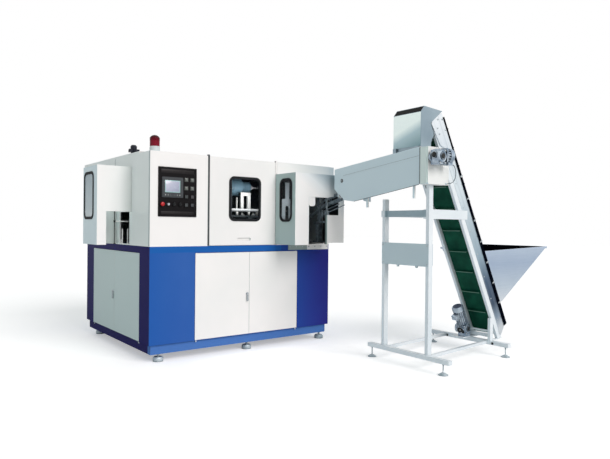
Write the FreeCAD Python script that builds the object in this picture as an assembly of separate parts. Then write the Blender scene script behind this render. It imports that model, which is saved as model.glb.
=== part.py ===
import FreeCAD, Part
import os
from math import sin, cos, tan, radians, pi, acos

V = FreeCAD.Vector
X_AXIS = V(1, 0, 0)
Y_AXIS = V(0, 1, 0)
Z_AXIS = V(0, 0, 1)

# ---------------------------------------------------------------- driving dimensions (mm)
# Working frame: X runs right along the machine's front, Y runs back, Z is up, and 0,0 is the
# cabinet's front left corner on the floor.  Every piece is moved by footprint_centre when it
# is written, so the finished part stands with its origin under the middle of its footprint.

# cabinet
cabinet_width = 2175.0
cabinet_depth = 1890.0
cabinet_top = 2000.0
plinth_bottom = 80.0
base_bottom = 172.0
base_top = 1100.0
base_wall = 30.0
upper_wall = 20.0
rear_cover = 150.0
lid_height = 20.0
table_thickness = 30.0

# doors of the base
door_gap = 4.0
door_thickness = 18.0
door_sheet = 3.0
door_bottom = 176.0
door_top = 1030.0
front_doors = (472.0, 1095.0, 1718.0)
end_doors = (250.0, 944.0, 1638.0)
pivot_inset = 14.0
pivot_depth = 8.0
pivot_radius = 5.0
running_clearance = 0.06

# sliding centre door
door_span = (607.0, 1433.0)
guide_left = (601.0, 621.0)
guide_right = (1419.0, 1439.0)
recess_span = (600.0, 1440.0)
door_front = 4.0
door_back = 22.0
window_x = (844.0, 1231.0)
window_z = (1352.0, 1814.0)
window_corner = 62.0
gasket_width = 26.0
pull_x = (941.0, 1109.0)
pull_z = (1149.0, 1180.0)

# preform infeed box, front right
infeed_x = (1420.0, 2090.0)
infeed_y = -360.0
infeed_z = (1110.0, 1865.0)
infeed_notch_x = (1598.0, 1850.0)
infeed_notch_top = 1617.0
slide_port_x = 2010.0
slide_port_bottom = 1430.0
infeed_window_y = (-302.0, -80.0)
infeed_window_z = (1352.0, 1812.0)
box_sheet = 4.0
notch_return = 42.0

# bottle outlet box, left end
outlet_x = -339.0
outlet_y = (464.0, 900.0)
outlet_z = (1108.0, 1880.0)
outlet_notch_x = -250.0
outlet_notch_z = (1113.0, 1434.0)
outlet_window_y = (566.0, 872.0)
outlet_window_z = (1355.0, 1827.0)
outlet_port_y = (520.0, 790.0)
box_window_corner = 70.0

# control panel on the front left of the upper cabinet
panel_x = (78.0, 474.0)
panel_z = (1385.0, 1857.0)
panel_thickness = 6.0
hmi_x = (112.0, 328.0)
hmi_z = (1568.0, 1762.0)
screen_x = (141.0, 296.0)
screen_z = (1615.0, 1731.0)
control_row_z = 1503.0
estop_x = 115.0
key_x = 173.0
selector_x = (235.0, 297.0)
button_x = (362.0, 424.0)
lamp_rows_z = (1744.0, 1662.0)
button_rows_z = (1580.0, 1500.0)
button_size = 30.0

# warning beacon and roof knob
beacon_x = 78.0
beacon_y = 85.0
beacon_radius = 51.0
beacon_base_height = 52.0
beacon_height = 160.0
knob_x = 150.0
knob_y = 815.0
knob_top = 2152.0

# elevator: a cleated belt in a frame that leans at belt_angle and lifts preforms to the head
belt_angle = radians(62.7)
incline_x = 2535.0
incline_z = 1360.0
conveyor_y = (-1600.0, -1260.0)
lower_gear_x = 2984.0
lower_gear_y = -1310.0
lower_gear_z = 232.0
base_plate_top = 150.0
chord_depth = (0.0, 61.0)
chord_thickness = 30.0
side_depth = (61.0, 178.0)
skirt_depth = 198.0
drum_depth = 85.0
drum_radius = 50.0
belt_thickness = 4.0
belt_y = (-1562.0, -1298.0)
head_distance = -950.0
tail_distance = 1275.0
incline_top = -1052.0
incline_bottom = 1362.0
cleat_height = 30.0
shaft_radius = 15.0
cleat_count = 20
cleat_phase = 89.0

# elevator's floor frame and portal
rail_size = 50.0
rail_height = 40.0
rail_top = 140.0
rail_left_x = 1962.0
rail_right_x = 3050.0
rail_left_y = (-1925.0, -915.0)
rail_right_y = (-1808.0, -795.0)
cross_left_y = (-1655.0, -1140.0)
cross_right_y = (-1545.0, -1020.0)
post_x = (1964.0, 2018.0)
post_depth = 36.0
post_y = (-1668.0, -1115.0)
post_top = (1697.0, 1580.0)
portal_bar_z = (1405.0, 1467.0)
brace_z = (1386.0, 1473.0)
brace_end = 2530.0
control_box_z = (946.0, 1156.0)

# preform trough with its two unscrambling rollers
trough_x = (1880.0, 2170.0)
trough_near_y = -1620.0
trough_far_y = -440.0
trough_sheet = 3.0
housing_y = -1720.0
housing_z = (1697.0, 2034.0)
upper_gear_x = 1922.0
upper_gear_z = 1937.0
upper_gear_size = 1.15
upper_gear_stand = 63.0
roller_radius = 30.0
roller_x = (1915.0, 2005.0)
roller_near = (-1560.0, 1806.0)
roller_far = (-510.0, 1652.0)
kicker_y = -562.0
kicker_z = 1790.0

# slide from the rollers down into the machine
slide_x = (1943.0, 1977.0)

# hood over the belt's head
hood_x = 1900.0
hood_y = (-1612.5, -1280.0)

# hopper
hopper_rim_x = (2905.0, 4110.0)
hopper_rim_z = (1070.0, 1103.0)
hopper_y = (-1600.0, -750.0)
hopper_foot_x = (3165.0, 3250.0)
hopper_foot_y = (-1585.0, -1240.0)
hopper_foot_z = 530.0
hopper_sheet = 3.0
hopper_rim_band = 22.0
hopper_corner = (3275.0, -1258.0)

overall_x = (-344.0, 4116.0)
overall_y = (-1925.0, 2040.0)
footprint_centre = V(-(overall_x[0] + overall_x[1]) / 2, -(overall_y[0] + overall_y[1]) / 2, 0)


# ---------------------------------------------------------------- small builders
def box(x, y, z):
    """A block between the two limits given for each axis."""
    return Part.makeBox(x[1] - x[0], y[1] - y[0], z[1] - z[0], V(x[0], y[0], z[0]))


def rod(radius, start, end):
    axis = end - start
    return Part.makeCylinder(radius, axis.Length, start, axis)


def prism(points, push):
    """A closed outline of points, pushed along one vector."""
    outline = Part.makePolygon(points + [points[0]])
    return Part.Face(outline).extrude(push)


def rounded_outline(low, high, corner, place):
    """A rectangle with round corners; place turns its two coordinates into a point."""
    u0, v0 = low
    u1, v1 = high
    straight = [((u0 + corner, v0), (u1 - corner, v0)), ((u1, v0 + corner), (u1, v1 - corner)),
                ((u1 - corner, v1), (u0 + corner, v1)), ((u0, v1 - corner), (u0, v0 + corner))]
    centres = [(u1 - corner, v0 + corner), (u1 - corner, v1 - corner),
               (u0 + corner, v1 - corner), (u0 + corner, v0 + corner)]
    edges = []
    for index in range(4):
        edges.append(Part.LineSegment(place(*straight[index][0]), place(*straight[index][1])).toShape())
        half = radians(90 * index - 45)
        middle = (centres[index][0] + corner * cos(half), centres[index][1] + corner * sin(half))
        following = straight[(index + 1) % 4][0]
        edges.append(Part.Arc(place(*straight[index][1]), place(*middle), place(*following)).toShape())
    return Part.Face(Part.Wire(edges))


def rounded_plate(low, high, corner, place, push):
    return rounded_outline(low, high, corner, place).extrude(push)


def on_front(y):
    """Places an outline drawn in X and Z on a plane that faces the machine's front."""
    return lambda u, v: V(u, y, v)


def on_end(x):
    """Places an outline drawn in Y and Z on a plane that faces the machine's end."""
    return lambda u, v: V(x, u, v)


def on_floor(z):
    return lambda u, v: V(u, v, z)


def revolve(profile, base, axis):
    """Turns an outline of (radius, height) points about an axis through base."""
    points = [V(r, 0, h) for r, h in profile]
    face = Part.Face(Part.makePolygon(points + [points[0]]))
    solid = face.revolve(V(0, 0, 0), Z_AXIS, 360)
    solid.Placement = FreeCAD.Placement(base, FreeCAD.Rotation(Z_AXIS, axis))
    return solid


def fuse(pieces):
    whole = pieces[0].multiFuse(pieces[1:]) if len(pieces) > 1 else pieces[0]
    return whole.removeSplitter()


def funnel_between(foot, top):
    """A solid with flat walls between two outlines that have the same number of corners."""
    faces = [Part.Face(Part.makePolygon(ring + [ring[0]])) for ring in (foot, top)]
    for k in range(len(foot)):
        following = (k + 1) % len(foot)
        for corners in ((foot[k], foot[following], top[following]), (foot[k], top[following], top[k])):
            faces.append(Part.Face(Part.makePolygon(list(corners) + [corners[0]])))
    solid = Part.Solid(Part.Shell(faces))
    if solid.Volume < 0:
        solid.reverse()
    return solid.removeSplitter()


def cut(whole, tools):
    return whole.cut(Part.makeCompound(tools)) if tools else whole


def incline(distance, depth):
    """X and Z of a point on the belt's slope: distance runs down it, depth square to it."""
    x = incline_x + distance * cos(belt_angle) + depth * sin(belt_angle)
    z = incline_z - distance * sin(belt_angle) + depth * cos(belt_angle)
    return x, z


def incline_point(distance, depth, y):
    x, z = incline(distance, depth)
    return V(x, y, z)


def incline_prism(corners, y):
    """An outline of (distance, depth) points on the slope, pushed across the belt."""
    points = [incline_point(distance, depth, y[0]) for distance, depth in corners]
    return prism(points, V(0, y[1] - y[0], 0))


# ---------------------------------------------------------------- base cabinet
def base_frame():
    """Welded base: plinth ring, walls round the door openings and the machine table."""
    body = box((0, cabinet_width), (0, cabinet_depth), (base_bottom, base_top))
    inside = box((base_wall, cabinet_width - base_wall), (base_wall, cabinet_depth - base_wall),
                 (base_bottom + 3, base_top - table_thickness))
    front_hole = box((front_doors[0] - door_gap, front_doors[2] + door_gap), (-1, base_wall + 1),
                     (door_bottom - door_gap + 3, door_top + door_gap))
    end_hole = box((-1, base_wall + 1), (end_doors[0] - door_gap, end_doors[2] + door_gap),
                   (door_bottom - door_gap + 3, door_top + door_gap))
    body = cut(body, [inside, front_hole, end_hole])
    plinth_inset = 26.0
    plinth_side = 60.0
    ring = box((plinth_inset, cabinet_width - plinth_inset), (plinth_inset, cabinet_depth - plinth_inset),
               (plinth_bottom, base_bottom))
    hollow = box((plinth_inset + plinth_side, cabinet_width - plinth_inset - plinth_side),
                 (plinth_inset + plinth_side, cabinet_depth - plinth_inset - plinth_side),
                 (plinth_bottom - 1, base_bottom + 1))
    body = fuse([body, cut(ring, [hollow])])
    # stiffening ribs of the long panels, as shallow pressed lines
    seams = [box((-1, 2), (943, 947), (door_top + 12, base_top + 1))]
    body = cut(body, seams)
    pins = []
    for x, y in front_pivots() + end_pivots():
        pins.append(rod(pivot_radius + running_clearance, V(x, y, base_bottom - 20), V(x, y, door_bottom)))
        pins.append(rod(pivot_radius + running_clearance, V(x, y, door_top), V(x, y, door_top + 24)))
    return cut(body, pins)


def front_pivots():
    return [(front_doors[0] + pivot_inset, pivot_depth), (front_doors[2] - pivot_inset, pivot_depth)]


def end_pivots():
    return [(pivot_depth, end_doors[0] + pivot_inset), (pivot_depth, end_doors[2] - pivot_inset)]


def foot_places():
    columns = (130.0, 1120.0, cabinet_width - 65.0)
    return [(x, y) for x in columns for y in (88.0, cabinet_depth - 100.0)]


def cabinet_feet():
    """Levelling feet: a round rubber-soled pad, a thick stud and its lock nut under the plinth."""
    feet = []
    for x, y in foot_places():
        pad = revolve([(0, 0), (50, 0), (50, 32), (42, 44), (0, 44)], V(x, y, 0), Z_AXIS)
        stud = rod(10, V(x, y, 42), V(x, y, plinth_bottom))
        nut = prism([V(x + 17 * cos(radians(60 * k)), y + 17 * sin(radians(60 * k)), plinth_bottom - 16)
                     for k in range(6)], V(0, 0, 16))
        feet.append(fuse([pad, stud, nut]))
    return Part.makeCompound(feet)


def pan_door(outer, front, back, inward):
    """A folded sheet door: a face sheet with returns, hollow behind. inward is +X or +Y."""
    side = door_sheet
    if inward == Y_AXIS:
        skin = box(outer, (front, back), (door_bottom, door_top))
        pocket = box((outer[0] + side, outer[1] - side), (front + side, back + 1),
                     (door_bottom + side, door_top - side))
    else:
        skin = box((front, back), outer, (door_bottom, door_top))
        pocket = box((front + side, back + 1), (outer[0] + side, outer[1] - side),
                     (door_bottom + side, door_top - side))
    return cut(skin, [pocket])


def hinge_blocks(x, y):
    """The blocks inside a door's top and bottom corners, with the pivot pins in them."""
    block = 10.0
    low = box((x - block + 1, x + block), (y - 5, y + block), (door_bottom, door_bottom + 24))
    high = box((x - block + 1, x + block), (y - 5, y + block), (door_top - 24, door_top))
    pin_low = rod(pivot_radius, V(x, y, base_bottom - 16), V(x, y, door_bottom + 2))
    pin_high = rod(pivot_radius, V(x, y, door_top - 2), V(x, y, door_top + 20))
    return [low, high, pin_low, pin_high]


latch_z = 596.0
latch_reach = 26.0


def front_door(left):
    middle = front_doors[1]
    span = (front_doors[0], middle - 1.5) if left else (middle + 1.5, front_doors[2])
    x, y = front_pivots()[0 if left else 1]
    door = fuse([pan_door(span, 0, door_thickness, Y_AXIS)] + hinge_blocks(x, y))
    if left:
        latch_x = middle - latch_reach
        door = cut(door, [rod(6 + running_clearance, V(latch_x, -1, latch_z), V(latch_x, 5, latch_z))])
    return door


def end_door(front_half):
    middle = end_doors[1]
    span = (end_doors[0], middle - 1.5) if front_half else (middle + 1.5, end_doors[2])
    x, y = end_pivots()[0 if front_half else 1]
    door = fuse([pan_door(span, 0, door_thickness, X_AXIS)] + hinge_blocks(x, y))
    if not front_half:
        latch_y = middle + latch_reach
        door = cut(door, [rod(6 + running_clearance, V(-1, latch_y, latch_z), V(5, latch_y, latch_z))])
    return door


def door_latch(centre, outward, across):
    """A quarter-turn swing handle: rose, shaft with cam, and a slim lever hanging down."""
    rose = revolve([(0, 0), (14, 0), (14, 3), (11, 6), (0, 6)], centre + outward * 0.4, outward)
    shaft = rod(6, centre + outward * 0.4, centre - outward * (door_thickness + 6))
    cam_back = centre - outward * (door_thickness + 6)
    corners = []
    for a, b in ((-7, -9), (7, -9), (7, 30), (-7, 30)):
        corners.append(cam_back + across * a + V(0, 0, 1) * b)
    cam = prism(corners, outward * 4)
    lever_low = centre + outward * 6 + V(0, 0, -78)
    place = lambda u, v: lever_low + across * u + V(0, 0, 1) * v
    lever = rounded_plate((-9, 0), (9, 92), 8.9, place, outward * 9)
    return fuse([rose, shaft, cam, lever])


def front_door_latch():
    return door_latch(V(front_doors[1] - latch_reach, 0, latch_z), V(0, -1, 0), X_AXIS)


def end_door_latch():
    return door_latch(V(0, end_doors[1] + latch_reach, latch_z), V(-1, 0, 0), Y_AXIS)


def electrical_panel():
    """Mounting plate behind the front doors with duct, drives, breakers and a transformer."""
    plate_y = 420.0
    plate = box((560, 1640), (plate_y, plate_y + 4), (250, 1000))
    stand = [box((x, x + 40), (plate_y + 4, plate_y + 44), (base_bottom + 3, 1000)) for x in (560, 1600)]
    ducts = [box((590, 1610), (plate_y - 55, plate_y), (z, z + 40)) for z in (300, 620, 930)]
    drives = [box((x, x + 120), (plate_y - 140, plate_y), (680, 890)) for x in (620, 770, 920)]
    breakers = [box((x, x + 50), (plate_y - 70, plate_y), (770, 850)) for x in range(1090, 1590, 56)]
    contactors = [box((x, x + 60), (plate_y - 80, plate_y), (430, 540)) for x in range(620, 1180, 74)]
    supply = box((1260, 1540), (plate_y - 150, plate_y), (380, 560))
    return fuse([plate] + stand + ducts + drives + breakers + contactors + [supply])


def air_receiver():
    """Low air tank behind the end doors: dished ends, two saddles and a top connection."""
    radius = 190.0
    y0, y1 = 480.0, 1420.0
    x, z = 330.0, 460.0
    dish = 70.0
    profile = [(0, -dish), (radius * 0.7, -dish * 0.6), (radius, 0), (radius, y1 - y0),
               (radius * 0.7, y1 - y0 + dish * 0.6), (0, y1 - y0 + dish)]
    tank = revolve(profile, V(x, y0, z), Y_AXIS)
    feet = [box((x - 120, x + 120), (y, y + 60), (base_bottom + 3, z - 100)) for y in (600, 1240)]
    stub = rod(24, V(x, 950, z + radius - 10), V(x, 950, z + radius + 60))
    return fuse([tank, stub] + feet)


# ---------------------------------------------------------------- upper cabinet
def upper_cabinet():
    """Sheet enclosure with roof: door recess, outlet and infeed ports, and a shallow end cover."""
    z = (base_top, cabinet_top)
    shell = box((0, cabinet_width), (0, cabinet_depth), z)
    inside = box((upper_wall, cabinet_width - upper_wall), (upper_wall, cabinet_depth - upper_wall),
                 (base_top - 1, cabinet_top - upper_wall))
    recess_back = door_back + 4
    recess = box(recess_span, (-1, recess_back), (base_top - 1, cabinet_top + 1))
    outlet_port = box((-1, upper_wall + 1), outlet_port_y, (base_top + 12, outlet_notch_z[1] + 2))
    infeed_port = box((1480, 2060), (-1, upper_wall + 1), (base_top + 20, 1810))
    shell = cut(shell, [inside, recess, outlet_port, infeed_port])
    frame = box((recess_span[0] - 20, recess_span[1] + 20), (recess_back, recess_back + 20),
                (base_top, cabinet_top - upper_wall + 1))
    opening = box((690, 1350), (recess_back - 1, recess_back + 21), (1180, 1900))
    returns = [box((recess_span[0] - 20, recess_span[0]), (1, recess_back + 20), z),
               box((recess_span[1], recess_span[1] + 20), (1, recess_back + 20), z)]
    cover_depth = 100.0
    cover_bevel = 14.0
    low_x = cabinet_width
    high_x = cabinet_width + cover_depth
    y0, y1 = 22.0, cabinet_depth - 22
    cover = prism([V(low_x, y0, 1130), V(high_x - cover_bevel, y0, 1130), V(high_x, y0 + cover_bevel, 1130),
                   V(high_x, y1 - cover_bevel, 1130), V(high_x - cover_bevel, y1, 1130), V(low_x, y1, 1130)],
                  V(0, 0, cabinet_top - 1130))
    cover_hollow = box((low_x - upper_wall - 1, high_x - 20), (y0 + 20, y1 - 20), (1150, cabinet_top - 20))
    rear = box((24, cabinet_width - 24), (cabinet_depth, cabinet_depth + rear_cover), (1130, cabinet_top))
    rear_hollow = box((44, cabinet_width - 44), (cabinet_depth - upper_wall - 1, cabinet_depth + rear_cover - 20),
                      (1150, cabinet_top - 20))
    lids = [box(x, y, (cabinet_top - 1, cabinet_top + lid_height))
            for x in ((3, 1086), (1090, cabinet_width - 3))
            for y in ((recess_back + 260, 941), (945, cabinet_depth + rear_cover - 4))]
    shell = cut(fuse([shell, cut(frame, [opening]), cover, rear] + returns + lids), [cover_hollow, rear_hollow])
    # panel joints in the ends, the back and the roof
    joint = 2.0
    seams = [box((-1, joint), (941, 945), (base_top - 1, cabinet_top + 1)),
             box((1086, 1090), (cabinet_depth + rear_cover - joint, cabinet_depth + rear_cover + 1),
                 (1120, cabinet_top + 1))]
    return cut(shell, seams)


def door_guides():
    """The two dark channels that the centre door slides up in, a little proud of the roof."""
    rails = []
    for low, high, open_to_right in ((guide_left[0], guide_left[1], True),
                                     (guide_right[0], guide_right[1], False)):
        bar = box((low, high), (0, door_back + 3.6), (base_top + 1, cabinet_top + 12))
        groove_x = (low + 4, high + 1) if open_to_right else (low - 1, high - 4)
        groove = box(groove_x, (door_front - 1, door_back + 1), (base_top - 1, cabinet_top + 13))
        rails.append(cut(bar, [groove]))
    return Part.makeCompound(rails)


def centre_door():
    """Lift-up guard door: folded sheet with a rounded window hole and a recessed pull."""
    z = (base_top + 4, cabinet_top - 4)
    skin = box(door_span, (door_front, door_back), z)
    pocket = box((door_span[0] + 14, door_span[1] - 14), (door_front + 3, door_back + 1), (z[0] + 3, z[1] - 3))
    door = cut(skin, [pocket])
    hole = rounded_plate((window_x[0] + 10, window_z[0] + 10), (window_x[1] - 10, window_z[1] - 10),
                         window_corner - 10, on_front(door_front - 1), V(0, 30, 0))
    pull_hole = rounded_plate((pull_x[0], pull_z[0]), (pull_x[1], pull_z[1]), 15, on_front(door_front - 1),
                              V(0, 6, 0))
    pull_box = rounded_plate((pull_x[0] - 3, pull_z[0] - 3), (pull_x[1] + 3, pull_z[1] + 3), 18,
                             on_front(door_front), V(0, 15, 0))
    pull_cup = rounded_plate((pull_x[0], pull_z[0]), (pull_x[1], pull_z[1]), 15, on_front(door_front - 1),
                             V(0, 14, 0))
    door = fuse([cut(door, [pull_hole]), cut(pull_box, [pull_cup])])
    return cut(door, [hole])


def window_gasket(low, high, corner, place, outward, sheet):
    """Rubber profile on the edge of a window hole: a front lip, a back lip and a pane groove."""
    lip = rounded_plate(low, high, corner, place, outward * 5)
    neck_low = (low[0] + 10, low[1] + 10)
    neck_high = (high[0] - 10, high[1] - 10)
    neck = rounded_plate(neck_low, neck_high, corner - 10, place, outward * -sheet)
    back_low = (low[0] + 3, low[1] + 3)
    back_high = (high[0] - 3, high[1] - 3)
    back_place = lambda u, v: place(u, v) - outward * sheet
    back = rounded_plate(back_low, back_high, corner - 3, back_place, outward * -5)
    solid = fuse([lip, neck, back])
    in_low = (low[0] + gasket_width, low[1] + gasket_width)
    in_high = (high[0] - gasket_width, high[1] - gasket_width)
    hole_place = lambda u, v: place(u, v) + outward * 6
    hole = rounded_plate(in_low, in_high, corner - gasket_width, hole_place, outward * -(sheet + 14))
    return cut(solid, [hole, window_pane(low, high, corner, place, outward, sheet)])


def window_pane(low, high, corner, place, outward, sheet):
    """Clear pane held 8 mm deep in the gasket's groove."""
    edge = gasket_width - 8
    middle = lambda u, v: place(u, v) - outward * (sheet / 2 - 2)
    return rounded_plate((low[0] + edge, low[1] + edge), (high[0] - edge, high[1] - edge), corner - edge,
                         middle, outward * -4)


def centre_window_frame():
    return ((window_x[0], window_z[0]), (window_x[1], window_z[1]), window_corner, on_front(door_front),
            V(0, -1, 0), 3.0)


def infeed_window_frame():
    return ((infeed_window_y[0], infeed_window_z[0]), (infeed_window_y[1], infeed_window_z[1]),
            box_window_corner, on_end(infeed_x[0]), V(-1, 0, 0), box_sheet)


def outlet_window_frame():
    return ((outlet_window_y[0], outlet_window_z[0]), (outlet_window_y[1], outlet_window_z[1]),
            box_window_corner, on_end(outlet_x), V(-1, 0, 0), box_sheet)


def window_hole(frame):
    low, high, corner, place, outward, sheet = frame
    start = lambda u, v: place(u, v) + outward
    return rounded_plate((low[0] + 10, low[1] + 10), (high[0] - 10, high[1] - 10), corner - 10, start,
                         outward * -(sheet + 2))


def infeed_box():
    """Guard box over the preform infeed: side window, front notch with returns, bolting flange."""
    s = box_sheet
    x0, x1 = infeed_x
    z0, z1 = infeed_z
    outer = box((x0, x1), (infeed_y, -0.3), (z0, z1))
    inside = box((x0 + s, x1 - s), (infeed_y + s, 1), (z0 + s, z1 - s))
    notch_low = z0 + s
    corner = 34.0
    u0, u1 = infeed_notch_x
    port = slide_port_x
    notch_points = [V(u0, infeed_y - 1, notch_low), V(u1, infeed_y - 1, notch_low),
                    V(u1, infeed_y - 1, slide_port_bottom), V(port, infeed_y - 1, slide_port_bottom),
                    V(port, infeed_y - 1, infeed_notch_top + 30), V(u1, infeed_y - 1, infeed_notch_top),
                    V(u0 + corner, infeed_y - 1, infeed_notch_top), V(u0, infeed_y - 1, infeed_notch_top - corner)]
    # the slide's spring housing passes through the front at its own slope
    rod_hole = rod(21, V(1960, infeed_y - 40, 1653.4), V(1960, infeed_y + 44, 1628.2))
    notch = fuse([prism(notch_points, V(0, s + 2, 0)), rod_hole])
    raised = box((u1 + s, x1 + 1), (infeed_y - 1, -12), (z0 - 1, z0 + 18))
    shell = outer
    for tool in (inside, notch, raised, window_hole(infeed_window_frame())):
        shell = shell.cut(tool)
    shelf = box((u1, x1), (infeed_y, -0.3), (z0 + 18, z0 + 18 + s))
    # folded return down the notch's two sides
    right_return = box((u1, u1 + s), (infeed_y, infeed_y + notch_return), (notch_low, slide_port_bottom))
    left_return = box((u0 - s, u0), (infeed_y, infeed_y + notch_return), (notch_low, infeed_notch_top - corner))
    flange = box((1592, 2158), (-8, -0.3), (1044, z0 + s))
    ledge = box((1592, u1 + s), (-40, -0.3), (z0 - 4, z0))
    block = rounded_plate((u0 + 1, 1520), (u0 + 88, infeed_notch_top + 30), 30, on_front(infeed_y + s), V(0, 24, 0))
    return fuse([shell, shelf, right_return, left_return, flange, ledge, block])


def outlet_box():
    """Guard box over the bottle outlet: side window, front notch and a cover strip behind it."""
    s = box_sheet
    y0, y1 = outlet_y
    z0, z1 = outlet_z
    outer = box((outlet_x, -0.3), (y0, y1), (z0, z1))
    inside = box((outlet_x + s, 1), (y0 + s, y1 - s), (z0 + s, z1 - s))
    notch = box((outlet_notch_x, 1), (y0 - 1, y0 + s + 1), outlet_notch_z)
    floor_hole = box((outlet_notch_x, 1), (y0 - 1, y1 - s - 60), (z0 - 1, z0 + s + 1))
    shell = cut(outer, [inside, notch, floor_hole, window_hole(outlet_window_frame())])
    edge = box((outlet_notch_x - s, outlet_notch_x), (y0, y0 + 24), outlet_notch_z)
    strip = box((-32, -18), (y1 - s - 12, y1 - s), (z0 + 4, outlet_notch_z[1] + 60))
    return fuse([shell, edge, strip])


def box_gaskets():
    return Part.makeCompound([window_gasket(*infeed_window_frame()), window_gasket(*outlet_window_frame())])


def box_panes():
    return Part.makeCompound([window_pane(*infeed_window_frame()), window_pane(*outlet_window_frame())])


# ---------------------------------------------------------------- beacon and roof knob
def beacon_base():
    r = beacon_radius
    h = beacon_base_height
    profile = [(0, 0), (r, 0), (r, 7), (r - 3, 10), (r - 3, h - 8), (r - 6, h - 4), (r - 6, h), (0, h)]
    return revolve(profile, V(beacon_x, beacon_y, cabinet_top), Z_AXIS)


def beacon_dome():
    """Clear red dome, 3 mm thick, with a straight wall and a round crown."""
    z0 = beacon_base_height
    wall = 3.0
    crown = 34.0
    shoulder = beacon_height - crown
    steps = 5

    def arch(radius, rise):
        turns = [radians(90 * k / steps) for k in range(steps + 1)]
        return [(radius * cos(a), shoulder + rise * sin(a)) for a in turns[:-1]] + [(0, shoulder + rise)]

    outer = arch(beacon_radius - 5, crown)
    inner = arch(beacon_radius - 5 - wall, crown - wall)
    profile = [(outer[0][0], z0)] + outer + inner[::-1] + [(inner[0][0], z0)]
    return revolve(profile, V(beacon_x, beacon_y, cabinet_top), Z_AXIS)


def beacon_reflector():
    """Half bowl that turns round the lamp on a short spindle."""
    z0 = cabinet_top + beacon_base_height
    spindle = revolve([(0, 0.4), (22, 0.4), (22, 5), (6, 7), (6, 14), (0, 14)], V(beacon_x, beacon_y, z0), Z_AXIS)
    bowl = Part.makeCylinder(32, 62, V(beacon_x, beacon_y, z0 + 5), Z_AXIS, 180)
    hollow = Part.makeCylinder(29, 70, V(beacon_x, beacon_y, z0 + 7), Z_AXIS, 360)
    return fuse([spindle, cut(bowl, [hollow])])


def roof_knob():
    """Five-lobed hand knob on a turned stem."""
    roof = cabinet_top + lid_height
    stem = revolve([(0, 0.4), (26, 0.4), (26, 8), (15, 14), (15, 50), (0, 50)], V(knob_x, knob_y, roof), Z_AXIS)
    z = roof + 42
    height = knob_top - z
    hub = revolve([(0, 0), (30, 0), (34, height - 20), (24, height - 4), (0, height)], V(knob_x, knob_y, z), Z_AXIS)
    # five lobes: the grip's radius swells and shrinks round the hub
    corners = 40
    grip = []
    for k in range(corners):
        angle = 2 * pi * k / corners
        radius = 48 + 13 * cos(5 * angle + 1.2)
        grip.append(V(knob_x + radius * cos(angle), knob_y + radius * sin(angle), z + 12))
    return fuse([stem, hub, prism(grip, V(0, 0, 30))])


# ---------------------------------------------------------------- control panel
def panel_plate():
    """Black anodised plate with a low tray behind, button bezels and corner screws."""
    face = -0.3
    plate = rounded_plate((panel_x[0], panel_z[0]), (panel_x[1], panel_z[1]), 6, on_front(face - panel_thickness),
                          V(0, panel_thickness, 0))
    front = face - panel_thickness
    screws = [rod(6, V(x, front, z), V(x, front - 2.5, z))
              for x in (panel_x[0] + 16, panel_x[1] - 16) for z in (panel_z[0] + 16, panel_z[1] - 16)]
    bezels = []
    holes = []
    half = button_size / 2
    for x in button_x:
        for z in button_rows_z:
            bezels.append(box((x - half - 4, x + half + 4), (front - 6, front), (z - half - 4, z + half + 4)))
            holes.append(box((x - half - 0.4, x + half + 0.4), (front - 7, front + 4), (z - half - 0.4, z + half + 0.4)))
    collars = []
    for x, radius, bore in ((estop_x, 24, 9), (key_x, 15, 8), (selector_x[0], 17, 8), (selector_x[1], 17, 8)):
        collars.append(rod(radius, V(x, front, control_row_z), V(x, front - 5, control_row_z)))
        holes.append(rod(bore + running_clearance, V(x, front - 6, control_row_z), V(x, front + 5.7, control_row_z)))
    return cut(fuse([plate] + screws + bezels + collars), holes)


def panel_front():
    return -0.3 - panel_thickness


def hmi_housing():
    """Touch panel: moulded bezel with a stepped rim, a sunk screen and a row of keys."""
    front = panel_front()
    body = rounded_plate((hmi_x[0], hmi_z[0]), (hmi_x[1], hmi_z[1]), 8, on_front(front - 8), V(0, 8, 0))
    rim = rounded_plate((hmi_x[0] + 8, hmi_z[0] + 8), (hmi_x[1] - 8, hmi_z[1] - 8), 6, on_front(front - 12),
                        V(0, 6, 0))
    screen = rounded_plate((screen_x[0], screen_z[0]), (screen_x[1], screen_z[1]), 3, on_front(front - 13),
                           V(0, 3, 0))
    keys = []
    count = 6
    pitch = (screen_x[1] - screen_x[0] - 10) / count
    for k in range(count):
        x = screen_x[0] + 5 + pitch * (k + 0.5)
        keys.append(box((x - 8, x + 8), (front - 13.5, front - 11), (hmi_z[0] + 16, hmi_z[0] + 30)))
    return fuse([cut(fuse([body, rim]), [screen])] + keys)


def indicator_lamps():
    """Square pilot lamps above the push buttons, each with its low bezel."""
    front = panel_front()
    half = button_size / 2
    lamps = []
    for x in button_x:
        for z in lamp_rows_z:
            bezel = box((x - half - 4, x + half + 4), (front - 6, front), (z - half - 4, z + half + 4))
            lens = box((x - half, x + half), (front - 10, front - 2), (z - half, z + half))
            lamps.append(fuse([bezel, lens]))
    return Part.makeCompound(lamps)


def push_button(x, z):
    front = panel_front()
    half = button_size / 2
    cap = rounded_plate((x - half, z - half), (x + half, z + half), 4, on_front(front - 12), V(0, 10, 0))
    dish = rounded_plate((x - half + 4, z - half + 4), (x + half - 4, z + half - 4), 3, on_front(front - 13),
                         V(0, 2, 0))
    return cut(cap, [dish])


def estop_button():
    """Mushroom head on a stem that travels into the panel."""
    front = panel_front()
    profile = [(0, 0.8), (8.9, 0.8), (8.9, 12), (18, 14), (20, 19), (19, 25), (14, 30), (6, 32), (0, 32)]
    return revolve(profile, V(estop_x, front, control_row_z), V(0, -1, 0))


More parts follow.
